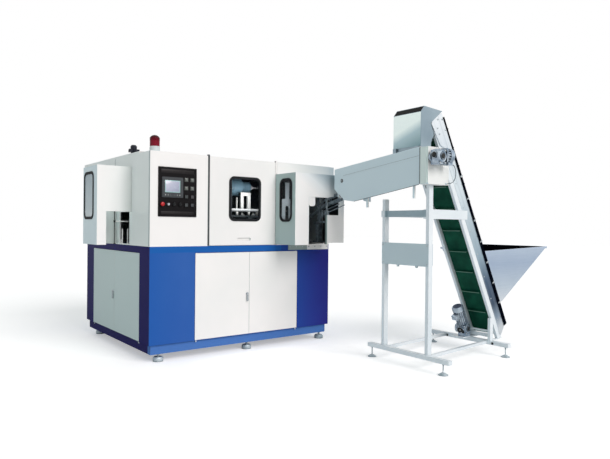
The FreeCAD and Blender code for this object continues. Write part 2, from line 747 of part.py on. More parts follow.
def selector(x):
    front = panel_front()
    stem = revolve([(0, -3), (7.9, -3), (7.9, 5.4), (14, 5.4), (14, 12), (0, 12)], V(x, front, control_row_z),
                   V(0, -1, 0))
    lever = rounded_plate((x - 4.5, control_row_z - 14), (x + 4.5, control_row_z + 20), 4, on_front(front - 24),
                          V(0, 13, 0))
    return fuse([stem, lever])


def key_switch():
    front = panel_front()
    stem = revolve([(0, -3), (7.9, -3), (7.9, 5.4), (11, 5.4), (11, 9), (0, 9)], V(key_x, front, control_row_z),
                   V(0, -1, 0))
    bow = rounded_plate((key_x - 8, control_row_z - 11), (key_x + 8, control_row_z + 11), 7, on_front(front - 30),
                        V(0, 3, 0))
    blade = box((key_x - 1.2, key_x + 1.2), (front - 28, front - 6), (control_row_z - 4, control_row_z + 4))
    blank = box((key_x - 4, key_x + 4), (front - 29, front - 8), (control_row_z - 1.2, control_row_z + 1.2))
    return fuse([stem, bow, blade, blank])


# ---------------------------------------------------------------- mechanism behind the window
clamp_axis_y = 300.0
clamp_axis_z = 1738.0
bed_top = 1420.0


def machine_bed():
    """Welded bed on the table with two cross walls, four tie bars and the fixed platen."""
    table = box((560, 2040), (150, 1250), (base_top + 0.3, base_top + 22))
    legs = [box((x, x + 60), (y, y + 60), (base_top + 10, bed_top - 18))
            for x in (600, 1190, 1920) for y in (190, 1120)]
    deck = box((600, 1980), (230, 1200), (bed_top - 22, bed_top))
    deck_slot = box((1250, 1640), (430, 900), (bed_top - 30, bed_top + 5))
    back_wall = box((600, 1980), (1200, 1212), (bed_top - 22, 1900))
    cylinder_wall = box((960, 1000), (210, 640), (bed_top - 4, 1880))
    platen = box((1760, 1810), (210, 640), (bed_top - 4, 1880))
    bars = [rod(16, V(990, y, z), V(1780, y, z)) for y in (240, 610) for z in (1475, 1850)]
    return fuse([table] + legs + [cut(deck, [deck_slot]), back_wall, cylinder_wall, platen] + bars)


def clamp_cylinder():
    """Clamp cylinder on the cross wall: rear cap, big flange, barrel in two steps, gland nose."""
    profile = [(14.1, -9), (104, -9), (104, 78), (60, 84), (60, 102), (66, 106), (66, 160), (48, 168),
               (48, 184), (52, 186), (52, 218), (30, 226), (30, 238), (14.1, 238)]
    body = revolve(profile, V(1010, clamp_axis_y + 125, clamp_axis_z), X_AXIS)
    wall_seat = box((955, 1000), (205, 645), (bed_top - 6, 1885))
    return cut(body, [wall_seat])


clamp_travel = 120.0


def clamp_rod():
    """Polished piston rod with a taper nose where it meets the moving mould."""
    axis_y = clamp_axis_y + 125
    profile = [(0, 2), (14, 2), (14, 262), (22, 266), (22, 280), (9, 300), (4, 352), (0, 356)]
    return revolve(profile, V(1004, axis_y, clamp_axis_z), X_AXIS)


def moving_mould():
    """Moving platen on the tie bars with its half mould and two bottle cavities."""
    platen = box((1480, 1520), (215, 635), (bed_top + 20, 1875))
    bores = [rod(16.06, V(1470, y, z), V(1690, y, z)) for y in (240, 610) for z in (1475, 1850)]
    block = box((1520, 1600), (290, 560), (1470, 1830))
    cavities = []
    for y in (360, 490):
        cavities.append(rod(34, V(1600, y, 1500), V(1600, y, 1730)))
        cavities.append(rod(14, V(1600, y, 1720), V(1600, y, 1840)))
    push = rod(24, V(1440, clamp_axis_y + 125, clamp_axis_z), V(1482, clamp_axis_y + 125, clamp_axis_z))
    nose_seat = revolve([(0, 0), (22.3, 0), (22.3, 17), (9.3, 37), (0, 60)],
                        V(1004 + 264, clamp_axis_y + 125, clamp_axis_z), X_AXIS)
    return cut(fuse([platen, block, push]), bores + cavities + [nose_seat])


def preform_tray():
    """White preform rail under the clamp: a bar with one end bent down, a bridge and legs."""
    y0, y1 = 284.0, 306.0
    bar = box((1036, 1376), (y0, y1), (1467, 1479))
    bent = box((1362, 1376), (y0, y1), (1421, 1472))
    legs = [box((x, x + 22), (y0, y1), (bed_top, 1470)) for x in (1100, 1246)]
    bridge = box((1154, 1280), (y0, y1), (1476, 1671))
    gap = box((1190, 1240), (y0 - 1, y1 + 1), (1475, 1634))
    post = rod(8, V(1108, 295, 1475), V(1108, 295, 1612))
    fins = [prism([V(x, y0, bed_top), V(x + 46, y0, bed_top), V(x + 12, y0, bed_top + 32)], V(0, 10, 0))
            for x in (1160, 1300)]
    return fuse([bar, bent] + legs + [cut(bridge, [gap]), post] + fins)


def infeed_bracket():
    """Cast bracket of the preform lifter in the infeed box, with its arched slot and foot."""
    x0, x1 = 1540.0, 1572.0
    plate = rounded_plate((-250, 1345), (-96, 1600), 22, on_end(x0), V(x1 - x0, 0, 0))
    slot = rounded_plate((-170, 1372), (-122, 1535), 23.9, on_end(x0 - 1), V(x1 - x0 + 2, 0, 0))
    foot = box((x0 - 20, x1 + 50), (-262, -84), (infeed_z[0] + box_sheet + 0.3, 1140))
    column = box((x0, x1), (-236, -190), (1130, 1360))
    sleeve = rod(22, V(1556, -140, 1560), V(1556, -140, 1640))
    bore = rod(13.06, V(1556, -140, 1500), V(1556, -140, 1650))
    return cut(fuse([plate, foot, column, sleeve]), [slot, bore])


def infeed_rod():
    """Lifter rod with its round head: it rises through the bracket's sleeve."""
    profile = [(0, 0), (13, 0), (13, 232), (18, 236), (18, 250), (0, 250)]
    return revolve(profile, V(1556, -140, 1545), Z_AXIS)


def heater_oven():
    """Preform oven along the back: a reflector trough holding six infra-red lamp tubes."""
    y0, y1 = 1290.0, 1560.0
    z0, z1 = 1330.0, 1620.0
    shell = box((620, 1940), (y0, y1), (z0, z1))
    hollow = box((610, 1950), (y0 + 24, y1 + 1), (z0 + 24, z1 - 24))
    lamps = [rod(7, V(640, 1360, z), V(1920, 1360, z)) for z in range(1370, 1600, 40)]
    holders = [box((x, x + 20), (y0 + 20, 1380), (z0 + 20, z1 - 20)) for x in (628, 1912)]
    legs = [box((x, x + 50), (y, y + 50), (base_top + 0.3, z0 + 10)) for x in (680, 1830) for y in (1300, 1500)]
    return fuse([cut(shell, [hollow])] + holders + lamps + legs)


# ---------------------------------------------------------------- elevator frame
def elevator_frame():
    """Welded tube frame: floor rails, cross tubes, portal, braces, sloping chords and their feet."""
    half = rail_size / 2
    low = rail_top - rail_height
    pieces = [box((rail_left_x - half, rail_left_x + half), rail_left_y, (low, rail_top)),
              box((rail_right_x - half, rail_right_x + half), rail_right_y, (low, rail_top))]
    # the cross tubes run at the same slant as the rails' ends
    for left, right in zip(cross_left_y, cross_right_y):
        pieces.append(prism([V(rail_left_x, left - 17, low + 5), V(rail_right_x, right - 17, low + 5),
                             V(rail_right_x, right + 17, low + 5), V(rail_left_x, left + 17, low + 5)], V(0, 0, 30)))
    for y, top in zip(post_y, post_top):
        pieces.append(box(post_x, (y, y + post_depth), (rail_top - 4, top)))
    bar_x = (post_x[0] + 14, post_x[1] - 2)
    pieces.append(box(bar_x, (post_y[0] + 5, post_y[1] + 5), portal_bar_z))
    # collar that ties the rear brace to the back post
    pieces.append(box((post_x[0] - 8, post_x[1] + 8), (post_y[1] - 8, post_y[1] + post_depth + 8), portal_bar_z))
    # braces from the portal posts to the sloping chords, front and back
    front_y = (conveyor_y[0], conveyor_y[0] + chord_thickness)
    back_y = (conveyor_y[1] - chord_thickness, conveyor_y[1])
    pieces.append(box((post_x[0] + 5, brace_end), (post_y[0], conveyor_y[0] + 2), brace_z))
    rear_y = (post_y[1], post_y[1] + post_depth)
    rear_z = (brace_z[0] + 22, brace_z[0] + 80)
    rear_end = brace_end - 17
    pieces.append(box((post_x[0] + 5, rear_end), rear_y, rear_z))
    pieces.append(box((rear_end - 50, rear_end), (back_y[1] - 5, rear_y[1]), rear_z))
    for y in (front_y, back_y):
        corners = [(incline_top, chord_depth[0]), (incline_top, chord_depth[1]),
                   (incline_bottom + 40, chord_depth[1]), (incline_bottom + 40, chord_depth[0])]
        chord = incline_prism(corners, y)
        chord = cut(chord, [box((2900, 3400), (y[0] - 1, y[1] + 1), (0, base_plate_top - 4))])
        pieces.append(chord)
    pieces.append(box((rail_right_x - half, rail_right_x + half), front_y, (rail_top - 4, 372)))
    # plate on the right rail that carries the back chord and the belt gearmotor, and two ties
    pieces.append(box((2905, 3200), (lower_gear_y - 42, -1200), (rail_top - 1, base_plate_top)))
    pieces.append(box((rail_right_x - half, 3200), (front_y[0] + 4, front_y[1] - 4), (rail_top - 1, base_plate_top)))
    tie_x = (rail_right_x + 12, rail_right_x + 24)
    for z, size in ((167.0, 36.0), (222.0, 18.0)):
        pieces.append(box(tie_x, (conveyor_y[0] + 10, back_y[0] - 2), (z, z + size)))
    pieces.append(box(tie_x, (back_y[0] - 10, back_y[0] - 2), (base_plate_top - 1, 240)))
    pieces.append(incline_prism([(1330, 50), (1330, 61), (1352, 61), (1352, 50)], (front_y[0], back_y[1])))
    # bearing plates on the chords at both drums
    for distance in drum_places():
        for y in ((conveyor_y[0] + 12, conveyor_y[0] + 18), (conveyor_y[1] - 18, conveyor_y[1] - 12)):
            pieces.append(incline_prism([(distance - 60, 20), (distance - 60, 140), (distance + 60, 140),
                                         (distance + 60, 20)], y))
    frame = fuse(pieces)
    bores = [rod(shaft_radius + running_clearance, incline_point(distance, drum_depth, conveyor_y[0] - 60),
                 incline_point(distance, drum_depth, conveyor_y[1] + 60)) for distance in drum_places()]
    return cut(frame, bores)


def drum_places():
    return head_distance, tail_distance


def elevator_feet():
    """Four levelling feet: a flat cone pad on a thin threaded stud with a lock nut."""
    feet = []
    low = rail_top - rail_height
    for x, places in ((rail_left_x, (-1848, -955)), (rail_right_x, (-1765, -838))):
        for y in places:
            pad = revolve([(0, 0), (45, 0), (44, 6), (16, 22), (0, 22)], V(x, y, 0), Z_AXIS)
            stud = rod(6, V(x, y, 20), V(x, y, low))
            nut = prism([V(x + 11 * cos(radians(60 * k)), y + 11 * sin(radians(60 * k)), low - 10)
                         for k in range(6)], V(0, 0, 10))
            feet.append(fuse([pad, stud, nut]))
    return Part.makeCompound(feet)


def control_box():
    """Grey switch box between the portal posts, with two cable glands below."""
    face_y = (post_y[0], post_y[1] + post_depth)
    face = box((post_x[0] - 4, post_x[0] - 0.3), face_y, control_box_z)
    inner_y = (post_y[0] + post_depth + 0.3, post_y[1] - 0.3)
    body = box((post_x[0] - 0.3, post_x[1] + 50), inner_y, (control_box_z[0] + 6, control_box_z[1] - 6))
    lid = box((post_x[1] + 50, post_x[1] + 54), (inner_y[0] + 8, inner_y[1] - 8),
              (control_box_z[0] + 14, control_box_z[1] - 14))
    profile = [(0, 0), (16, 0), (16, 12), (12, 14), (12, 26), (0, 26)]
    glands = [revolve(profile, V(post_x[0] + 24, y, control_box_z[0] + 7), V(0, 0, -1)) for y in (-1505, -1271)]
    return fuse([face, body, lid] + glands)


def side_panels():
    """Stainless side plates above the chords, wider round the head, joined by a tie plate."""
    plates = []
    low, high = side_depth
    for y in ((conveyor_y[0] - 3.3, conveyor_y[0] - 0.3), (conveyor_y[1] + 0.3, conveyor_y[1] + 3.3)):
        outline = [(incline_top - 6, -6), (incline_top - 14, high), (1306, high - 22), (incline_bottom, 58),
                   (incline_bottom - 40, 44), (1200, low - 6), (-700, low - 6), (-790, -6)]
        plates.append(incline_prism(outline, y))
    tie = incline_prism([(-560, 173), (-560, 177), (-480, 177), (-480, 173)], (conveyor_y[0] - 1, conveyor_y[1] + 1))
    # bolted cover over the head bearing, towards the front
    front = conveyor_y[0] - 3.3
    cover = incline_prism([(-1032, -13), (-1066, 50), (-1066, high - 16), (-692, high - 16), (-694, 130), (-800, 20)],
                          (front - 8, front + 1))
    bolts = [rod(7, incline_point(a, b, front - 13), incline_point(a, b, front - 7))
             for a, b in ((-1033, 91), (-961, 49), (-903, 51))]
    panels = fuse(plates + [tie, cover] + bolts)
    holes = [rod(shaft_radius + 6, incline_point(distance, drum_depth, conveyor_y[1] - 20),
                 incline_point(distance, drum_depth, conveyor_y[1] + 60)) for distance in drum_places()]
    return cut(panels, holes)


def skirts():
    """Black rubber strips clipped along the side plates' upper edges, wider towards the hopper."""
    strips = []
    high = side_depth[1]
    for outer, side in ((conveyor_y[0] - 3.6, -1), (conveyor_y[1] + 3.6, 1)):
        y = (outer - 5, outer) if side < 0 else (outer, outer + 5)
        strip = incline_prism([(incline_top + 30, high - 8), (incline_top + 30, skirt_depth - 6),
                               (1300, skirt_depth + 2), (1300, 152)], y)
        clip_y = (outer - 9, outer - 4) if side < 0 else (outer + 4, outer + 9)
        clips = [incline_prism([(place - 5, high - 16 - place * 0.012), (place - 5, skirt_depth - 4),
                                (place + 5, skirt_depth - 4), (place + 5, high - 16 - place * 0.012)], clip_y)
                 for place in range(-900, 1260, 190)]
        strips.append(fuse([strip] + clips))
    return Part.makeCompound(strips)


def belt_loop(offset):
    """Outline of the belt's path at one distance from the drums' centres."""
    head, tail = drum_places()
    points = [incline_point(head, drum_depth - offset, belt_y[0]), incline_point(tail, drum_depth - offset, belt_y[0]),
              incline_point(tail + offset, drum_depth, belt_y[0]), incline_point(tail, drum_depth + offset, belt_y[0]),
              incline_point(head, drum_depth + offset, belt_y[0]), incline_point(head - offset, drum_depth, belt_y[0])]
    edges = [Part.LineSegment(points[0], points[1]).toShape(), Part.Arc(points[1], points[2], points[3]).toShape(),
             Part.LineSegment(points[3], points[4]).toShape(), Part.Arc(points[4], points[5], points[0]).toShape()]
    return Part.Face(Part.Wire(edges)).extrude(V(0, belt_y[1] - belt_y[0], 0))


def belt():
    """Endless green belt with upright cleats at an even pitch all the way round."""
    head, tail = drum_places()
    inner = drum_radius + 0.3
    outer = inner + belt_thickness
    loop = cut(belt_loop(outer), [belt_loop(inner)])
    run = tail - head
    turn = pi * outer
    pitch = (2 * run + 2 * turn) / cleat_count
    cleats = []
    for k in range(cleat_count):
        along = k * pitch + cleat_phase
        if along < run:
            flat_at, side = head + along, -1
        elif run + turn < along < 2 * run + turn:
            flat_at, side = tail - (along - run - turn), 1
        else:
            flat_at, side = None, 0
        if side:
            near = drum_depth + side * (outer - 1)
            far = drum_depth + side * (outer + cleat_height)
            outline = [(flat_at - 5, near), (flat_at - 3, far), (flat_at + 3, far), (flat_at + 5, near)]
        else:
            at_tail = along < 2 * run
            swept = (along - run) / outer if at_tail else (along - 2 * run - turn) / outer
            centre = tail if at_tail else head
            spin = swept - pi / 2 if at_tail else swept + pi / 2
            ray = (cos(spin), sin(spin))
            outline = []
            for radius, width in ((outer - 1, -5), (outer + cleat_height, -3), (outer + cleat_height, 3), (outer - 1, 5)):
                outline.append((centre + radius * ray[0] - width * ray[1], drum_depth + radius * ray[1] + width * ray[0]))
        cleats.append(incline_prism(outline, (belt_y[0] + 22, belt_y[1] - 22)))
    return fuse([loop] + cleats)


def drum(distance, tail):
    """Crowned drum with end discs and a shaft that reaches both side frames."""
    start = conveyor_y[0] + 4
    width = belt_y[1] - belt_y[0] + 6
    gap = belt_y[0] - 3 - start
    end = (conveyor_y[1] - start) + (28 if tail else 8)
    r = drum_radius
    s = shaft_radius
    profile = [(0, 0), (s, 0), (s, gap), (r - 2, gap), (r, gap + width * 0.3), (r, gap + width * 0.7),
               (r - 2, gap + width), (s, gap + width), (s, end), (0, end)]
    return revolve(profile, incline_point(distance, drum_depth, start), Y_AXIS)


# ---------------------------------------------------------------- hood, trough, rollers
def head_hood():
    """Grey hood over the belt's head: two cheeks cut back round the side plates, brow, roof, apron."""
    y0, y1 = hood_y
    eave = (hood_x, 2364)
    brow_top = (hood_x + 44, 2419)
    end = (2197, 2402)
    outline = [(hood_x, 2044), eave, brow_top, end, (2036, 2272), (2080, 2172), (2042, 2090), (2042, 2044)]
    cheeks = [prism([V(x, y, z) for x, z in outline], V(0, 3, 0)) for y in (y0 - 3, y1)]
    width = V(0, y1 - y0 + 6, 0)

    def strip(points):
        return prism([V(x, y0 - 3, z) for x, z in points], width)

    roof = strip([brow_top, end, (end[0] - 1, end[1] - 5), (brow_top[0], brow_top[1] - 5)])
    brow = strip([eave, brow_top, (brow_top[0] + 4, brow_top[1] - 4), (eave[0] + 5, eave[1] - 3)])
    sill = box((hood_x, hood_x + 3), (y0 - 3, y1 + 3), (2044, 2060))
    header = box((hood_x, hood_x + 3), (y0 - 3, y1 + 3), (2340, 2363))
    feet = [box((hood_x, hood_x + 120), (y, y + 3), (2036, 2050)) for y in (y0 - 3, y1)]
    # two angle tabs inside the trough's wall carry the hood
    wall = trough_x[0] + trough_sheet
    tabs = []
    for y, foot in (((-1600, -1560), 1996), ((-1325, -1285), 1972)):
        tabs += [box((wall + 0.3, wall + 3.3), y, (foot, 2050)), box((wall + 0.3, hood_x + 3), y, (2046, 2050))]
    # apron behind the sill: it hangs into the trough and closes the wedge above its sloping wall
    apron = prism([V(hood_x + 3, y, z) for y, z in ((y0, 2060), (y1, 2060), (y1, 1990), (y0, 2025))], V(3, 0, 0))
    # the rear cheek is notched round the head of the rear chord
    notch = incline_prism([(incline_top - 5, -5), (incline_top - 5, chord_depth[1] + 5),
                           (-700, chord_depth[1] + 5), (-700, -5)], (y1 - 5, y1 + 8))
    return cut(fuse(cheeks + [roof, brow, sill, header, apron] + feet + tabs), [notch])


def hood_window():
    """Pale flat sheet that closes the hood towards the machine."""
    return box((hood_x - 3.3, hood_x - 0.3), (hood_y[0] - 1, hood_y[1] + 1), (2050.4, 2360))


def trough():
    """Sheet trough under the hood with its drive housing, end bearings and hanging pegs."""
    s = trough_sheet
    x0, x1 = trough_x
    far = trough_far_y
    near = trough_near_y
    floor_lift = 80.0
    side = [(near, 1695), (near, 2040), (far, 1915), (far, 1705), (-600, 1585), (-752, 1566)]
    solid = prism([V(x0, y, z) for y, z in side], V(x1 - x0, 0, 0))
    inside = [(near + s, 1700 + floor_lift), (near + s, 2060), (far - s, 1940), (far - s, 1700),
              (-600, 1560), (-700, 1560), (-700, 1561 + floor_lift), (-752, 1569 + floor_lift)]
    hollow = prism([V(x0 + s, y, z) for y, z in inside], V(x1 - x0 - 2 * s, 0, 0))
    # the outer wall and the floor end higher than the wall towards the machine
    below = [(near - 1, 1500), (near - 1, 1695 + floor_lift), (-752, 1566 + floor_lift),
             (-700, 1558 + floor_lift), (-700, 1500)]
    under = prism([V(x0 + s, y, z) for y, z in below], V(x1 - x0, 0, 0))
    # long slot in the floor: preforms hang between the rollers
    slot = box((x0 + 55, x0 + 105), (-1540, -690), (1600, 1830))
    body = cut(solid, [hollow, under, slot])
    housing = box((x0, x1), (housing_y, near), housing_z)
    corner = 14.0
    bevel = prism([V(x0 - 1, housing_y - 1, housing_z[0] - 1), V(x0 + corner, housing_y - 1, housing_z[0] - 1),
                   V(x0 - 1, housing_y - 1, housing_z[0] + corner)], V(0, 110, 0))
    room = box((x0 + 12, x1 - 12), (housing_y + 12, near - 8), (housing_z[0] + 12, housing_z[1] - 12))
    flange = box((x0 - 6, x0 + 1), (housing_y + 14, near), (housing_z[0] + 4, housing_z[1] - 4))
    fold = prism([V(x0 - 1.5, near + 8, 1934), V(x0 - 1.5, far - 120, 1829), V(x0 - 1.5, far - 120, 1832),
                  V(x0 - 1.5, near + 8, 1937)], V(2, 0, 0))
    pegs = []
    lugs = []
    for y, low, high in ((-930, 1502, 1622), (-1542, 1573, 1704)):
        pegs.append(rod(13, V(x0 + 20, y, low), V(x0 + 20, y, high)))
        lugs.append(box((x0 + 1, x0 + 34), (y - 16, y + 16), (high - 14, high + 40)))
    bearing = revolve([(9, 0), (22, 0), (22, 3), (17, 5), (9, 5)], V(x0, kicker_y, kicker_z), V(-1, 0, 0))
    bearing_y = (roller_far[0] + 12, roller_far[0] + 30)
    ends = [box((x - 24, x + 24), bearing_y, (1622, 1722)) for x in roller_x]
    arms = [box((x0 + 1, roller_x[0]), bearing_y, (1696, 1722)), box((roller_x[0], x1 - 1), bearing_y, (1696, 1722))]
    gland = revolve([(0, -4), (10, -4), (10, 7), (7, 9), (7, 15), (0, 15)], V(2130, housing_y, 1709), V(0, -1, 0))
    whole = fuse([body, cut(housing, [bevel, room]), flange, fold, bearing, gland] + ends + pegs + lugs + arms)
    shaft_holes = []
    for x in roller_x:
        start, end = roller_axis(x)
        along = (end - start).normalize()
        shaft_holes.append(rod(10 + running_clearance, start - along * 110, end + along * 60))
    axle_hole = rod(8 + running_clearance, V(x0 - 10, kicker_y, kicker_z), V(x1 + 10, kicker_y, kicker_z))
    return cut(whole, shaft_holes + [axle_hole])


def roller_axis(x):
    return V(x, roller_near[0], roller_near[1]), V(x, roller_far[0], roller_far[1])


def roller(x):
    """One unscrambling roller with its shaft and the gear on its driven end."""
    start, end = roller_axis(x)
    length = (end - start).Length
    shaft = 9.99
    profile = [(0, -92), (shaft, -92), (shaft, -3), (roller_radius - 2, -3), (roller_radius, 0),
               (roller_radius, length), (roller_radius - 2, length + 3), (shaft, length + 3), (shaft, length + 34),
               (0, length + 34)]
    return revolve(profile, start, end - start)


def kicker_wheel():
    """Paddle wheel that knocks stacked preforms back: axle, hub and four rubber paddles."""
    x0, x1 = trough_x
    axle = rod(8, V(x0 - 2, kicker_y, kicker_z), V(x1 + 2, kicker_y, kicker_z))
    hub = rod(20, V(x0 + 40, kicker_y, kicker_z), V(x1 - 60, kicker_y, kicker_z))
    paddles = []
    for k in range(4):
        angle = radians(90 * k + 45)
        out = V(0, cos(angle), sin(angle))
        across = V(0, -sin(angle), cos(angle)) * 3
        centre = V(x0 + 44, kicker_y, kicker_z)
        corners = [centre + out * 16 - across, centre + out * 46 - across, centre + out * 46 + across,
                   centre + out * 16 + across]
        paddles.append(prism(corners, V(x1 - x0 - 108, 0, 0)))
    return fuse([axle, hub] + paddles)


def gearmotor(centre, shaft, motor, back, front, worm, length):
    """Worm gearmotor: ribbed cast box, stepped side cover, output flange, finned motor and cowl."""
    up = shaft.cross(motor).normalize()

    def at(along_motor, along_shaft, along_up):
        return centre + motor * along_motor + shaft * along_shaft + up * along_up

    def block(m, s, u, chamfer=0.0):
        c = chamfer
        outline = [(m[0] + c, u[0]), (m[1] - c, u[0]), (m[1], u[0] + c), (m[1], u[1] - c), (m[1] - c, u[1]),
                   (m[0] + c, u[1]), (m[0], u[1] - c), (m[0], u[0] + c)]
        if not chamfer:
            outline = [(m[0], u[0]), (m[1], u[0]), (m[1], u[1]), (m[0], u[1])]
        return prism([at(a, s[0], b) for a, b in outline], shaft * (s[1] - s[0]))

    low, high = -52.0, 60.0
    pieces = [block((-back, front), (-36, 36), (low, high), 14)]
    # stepped cover on the free side, machined flange on the driven side
    pieces.append(revolve([(0, 0), (50, 0), (50, 6), (44, 14), (34, 14), (34, 9), (24, 9), (24, 18), (0, 18)],
                          at(0, -36, 0), shaft * -1))
    pieces.append(revolve([(0, 0), (46, 0), (46, 8), (0, 8)], at(0, 36, 0), shaft))
    # cast ribs over the box and bolt lugs at its corners
    for u in (low - 4, high - 6):
        pieces.append(block((-back + 8, front - 8), (-24, 24), (u, u + 10)))
    for m in (-back + 12, front - 12):
        for u in (low + 8, high - 8):
            pieces.append(rod(10, at(m, -42, u), at(m, 42, u)))
    pieces.append(rod(25, at(-back, 0, worm), at(-back - 10, 0, worm)))
    # motor: square flange, body with cooling fins along it, fan cowl
    pieces.append(block((front, front + 10), (-54, 54), (worm - 54, worm + 54)))
    start = at(front + 10, 0, worm)
    body = length - 62.0
    fin_count = 18
    star = []
    for k in range(fin_count):
        for turn, radius in ((-0.24, 51), (-0.14, 59), (0.14, 59), (0.24, 51)):
            angle = 2 * pi * (k + turn) / fin_count
            star.append(start + shaft * (radius * cos(angle)) + up * (radius * sin(angle)))
    pieces.append(prism(star, motor * body))
    pieces.append(revolve([(0, body - 1), (61, body - 1), (61, body + 40), (50, body + 50), (0, body + 50)],
                          start, motor))
    return pieces, at, block


def gearmotors():
    """Belt gearmotor on its bracket with the chain guard, and roller gearmotor on the housing."""
    slope = V(-cos(belt_angle), 0, sin(belt_angle))
    centre = V(lower_gear_x, lower_gear_y, lower_gear_z)
    pieces, at, block = gearmotor(centre, Y_AXIS, slope, 46, 50, 0, 230)
    pieces.append(rod(24, at(0, 40, 0), V(centre.x, conveyor_y[1] + 10, centre.z)))
    pieces.append(rod(48, at(6, 0, -50), at(6, 0, -64)))
    pieces.append(block((160, 210), (-34, 34), (-96, -52)))
    foot_x = centre.x
    pieces.append(box((foot_x - 52, foot_x + 48), (lower_gear_y - 40, lower_gear_y + 40), (base_plate_top, centre.z - 24)))
    # closed guard over the chain between the gearmotor and the tail drum
    tail = incline_point(tail_distance, drum_depth, 0)
    guard_y = (conveyor_y[1] + 9, conveyor_y[1] + 36)
    run = V(tail.x - centre.x, 0, tail.z - centre.z)
    square = V(-run.z, 0, run.x).normalize()

    def guard(radius, y):
        a = V(centre.x, y[0], centre.z)
        b = V(tail.x, y[0], tail.z)
        middle = [prism([a + square * radius, b + square * radius, b - square * radius, a - square * radius],
                        V(0, y[1] - y[0], 0))]
        ends = [rod(radius, p, p + V(0, y[1] - y[0], 0)) for p in (a, b)]
        return fuse(middle + ends)

    cover = cut(guard(52, guard_y), [guard(49, (guard_y[0] + 3, guard_y[1] - 3))])
    shaft_hole = rod(shaft_radius + 6, V(tail.x, guard_y[0] - 5, tail.z), V(tail.x, guard_y[0] + 4, tail.z))
    lower = fuse(pieces + [cut(cover, [shaft_hole])])
    # the roller gearmotor is the next size up and stands off the housing's face on a round neck
    centre = V(upper_gear_x, housing_y - upper_gear_stand * upper_gear_size, upper_gear_z)
    pieces, at, block = gearmotor(centre, Y_AXIS, X_AXIS, 33, 50, -12, 98)
    pieces.append(rod(35, at(0, 40, 0), at(0, upper_gear_stand, 0)))
    pieces.append(block((100, 150), (-26, 26), (36, 60)))
    gland = [(0, -3), (8, -3), (8, 5), (6, 6), (6, 11), (0, 11)]
    pieces.append(revolve(gland, at(150, 0, 50), X_AXIS))
    upper = fuse(pieces)
    upper.scale(upper_gear_size, centre)
    return Part.makeCompound([lower, upper])


def preform_slide():
    """Gravity slide: two bent neck rails, a hold-down rail above, clamp brackets and guide rods."""
    def bar(x, first, last, thick):
        a = V(x[0], first[0], first[1])
        b = V(x[0], last[0], last[1])
        run = (b - a).normalize()
        square = V(0, -run.z, run.y) * (thick / 2)
        return prism([a - square, b - square, b + square, a + square], V(x[1] - x[0], 0, 0))

    def bent(x, points, thick):
        """A bar with one bend: its outline is mitred at the middle point."""
        (y0, z0), (y1, z1), (y2, z2) = points
        half = thick / 2
        low = [(y0, z0 - half), (y1, z1 - half), (y2, z2 - half)]
        high = [(y2, z2 + half), (y1, z1 + half), (y0, z0 + half)]
        return prism([V(x[0], y, z) for y, z in low + high], V(x[1] - x[0], 0, 0))

    left, right = slide_x
    rail_path = [(-462, 1603), (-183, 1535), (80, 1413)]
    rails = [bent((left - 6, left), rail_path, 30), bent((right, right + 6), rail_path, 30)]
    hold_down = [bent((left + 8, right - 8), [(-330, 1631), (-183, 1594), (-20, 1520)], 14),
                 rod(17, V(1960, -392, 1651), V(1960, -322, 1630)),
                 rod(11, V(1960, -330, 1632), V(1960, -296, 1621))]
    pieces = rails + hold_down
    # two upright clamp straps with their cross heads, bridged over to the far rail
    for top, foot, stop in (((-120, 1640), (-158, 1352), 1558), ((-260, 1636), (-279, 1365), 1600)):
        pieces.append(bar((left - 34, left - 26), top, foot, 16))
        pieces.append(box((left - 30, right + 14), (top[0] - 8, top[0] + 6), (top[1] - 20, top[1] - 8)))
        pieces.append(box((right + 5.8, right + 14), (top[0] - 8, top[0] + 6), (stop - 50, top[1] - 8)))
        pieces.append(box((left - 30, left - 1), (top[0] - 14, top[0]), (stop - 60, stop - 46)))
        pieces.append(rod(5, V(1960, top[0] - 1, stop - 10), V(1960, top[0] - 1, top[1] + 12)))
        pieces.append(revolve([(0, 0), (7, 0), (7, 8), (14, 10), (14, 20), (9, 24), (0, 24)],
                              V(1960, top[0] - 1, top[1] - 9), Z_AXIS))
    # guide rods held by the straps and by a small open clamp under them
    rod_x = left - 38
    for near, far in (((-576, 1535), (-200, 1431)), ((-494, 1548), (-200, 1467))):
        pieces.append(rod(5, V(rod_x, near[0], near[1]), V(rod_x, far[0], far[1])))
    clamp = box((left - 46, left - 30), (-316, -256), (1396, 1478))
    clamp = cut(clamp, [box((left - 47, left - 29), (-302, -270), (1410, 1444))])
    pieces.append(clamp)
    pieces.append(box((left - 46, left - 30), (-222, -180), (1404, 1480)))
    pieces.append(bar((left - 40, right + 12), (-80, 1350), (-306, 1362), 18))
    post = box((left - 20, left + 26), (-128, -76), (infeed_z[0] + box_sheet + 18.3, 1348))
    pieces.append(post)
    pieces.append(box((left - 44, left + 44), (-150, -54), (infeed_z[0] + box_sheet + 18.3, infeed_z[0] + 34)))
    for y in (-143, -92):
        pieces.append(box((left - 4, left), (y - 10, y + 10), (1340, 1560)) if y < -100
                      else box((left - 4, left), (y - 10, y + 10), (1340, 1500)))
    pieces.append(box((right, right + 4), (-102, -82), (1340, 1500)))
    return fuse(pieces)


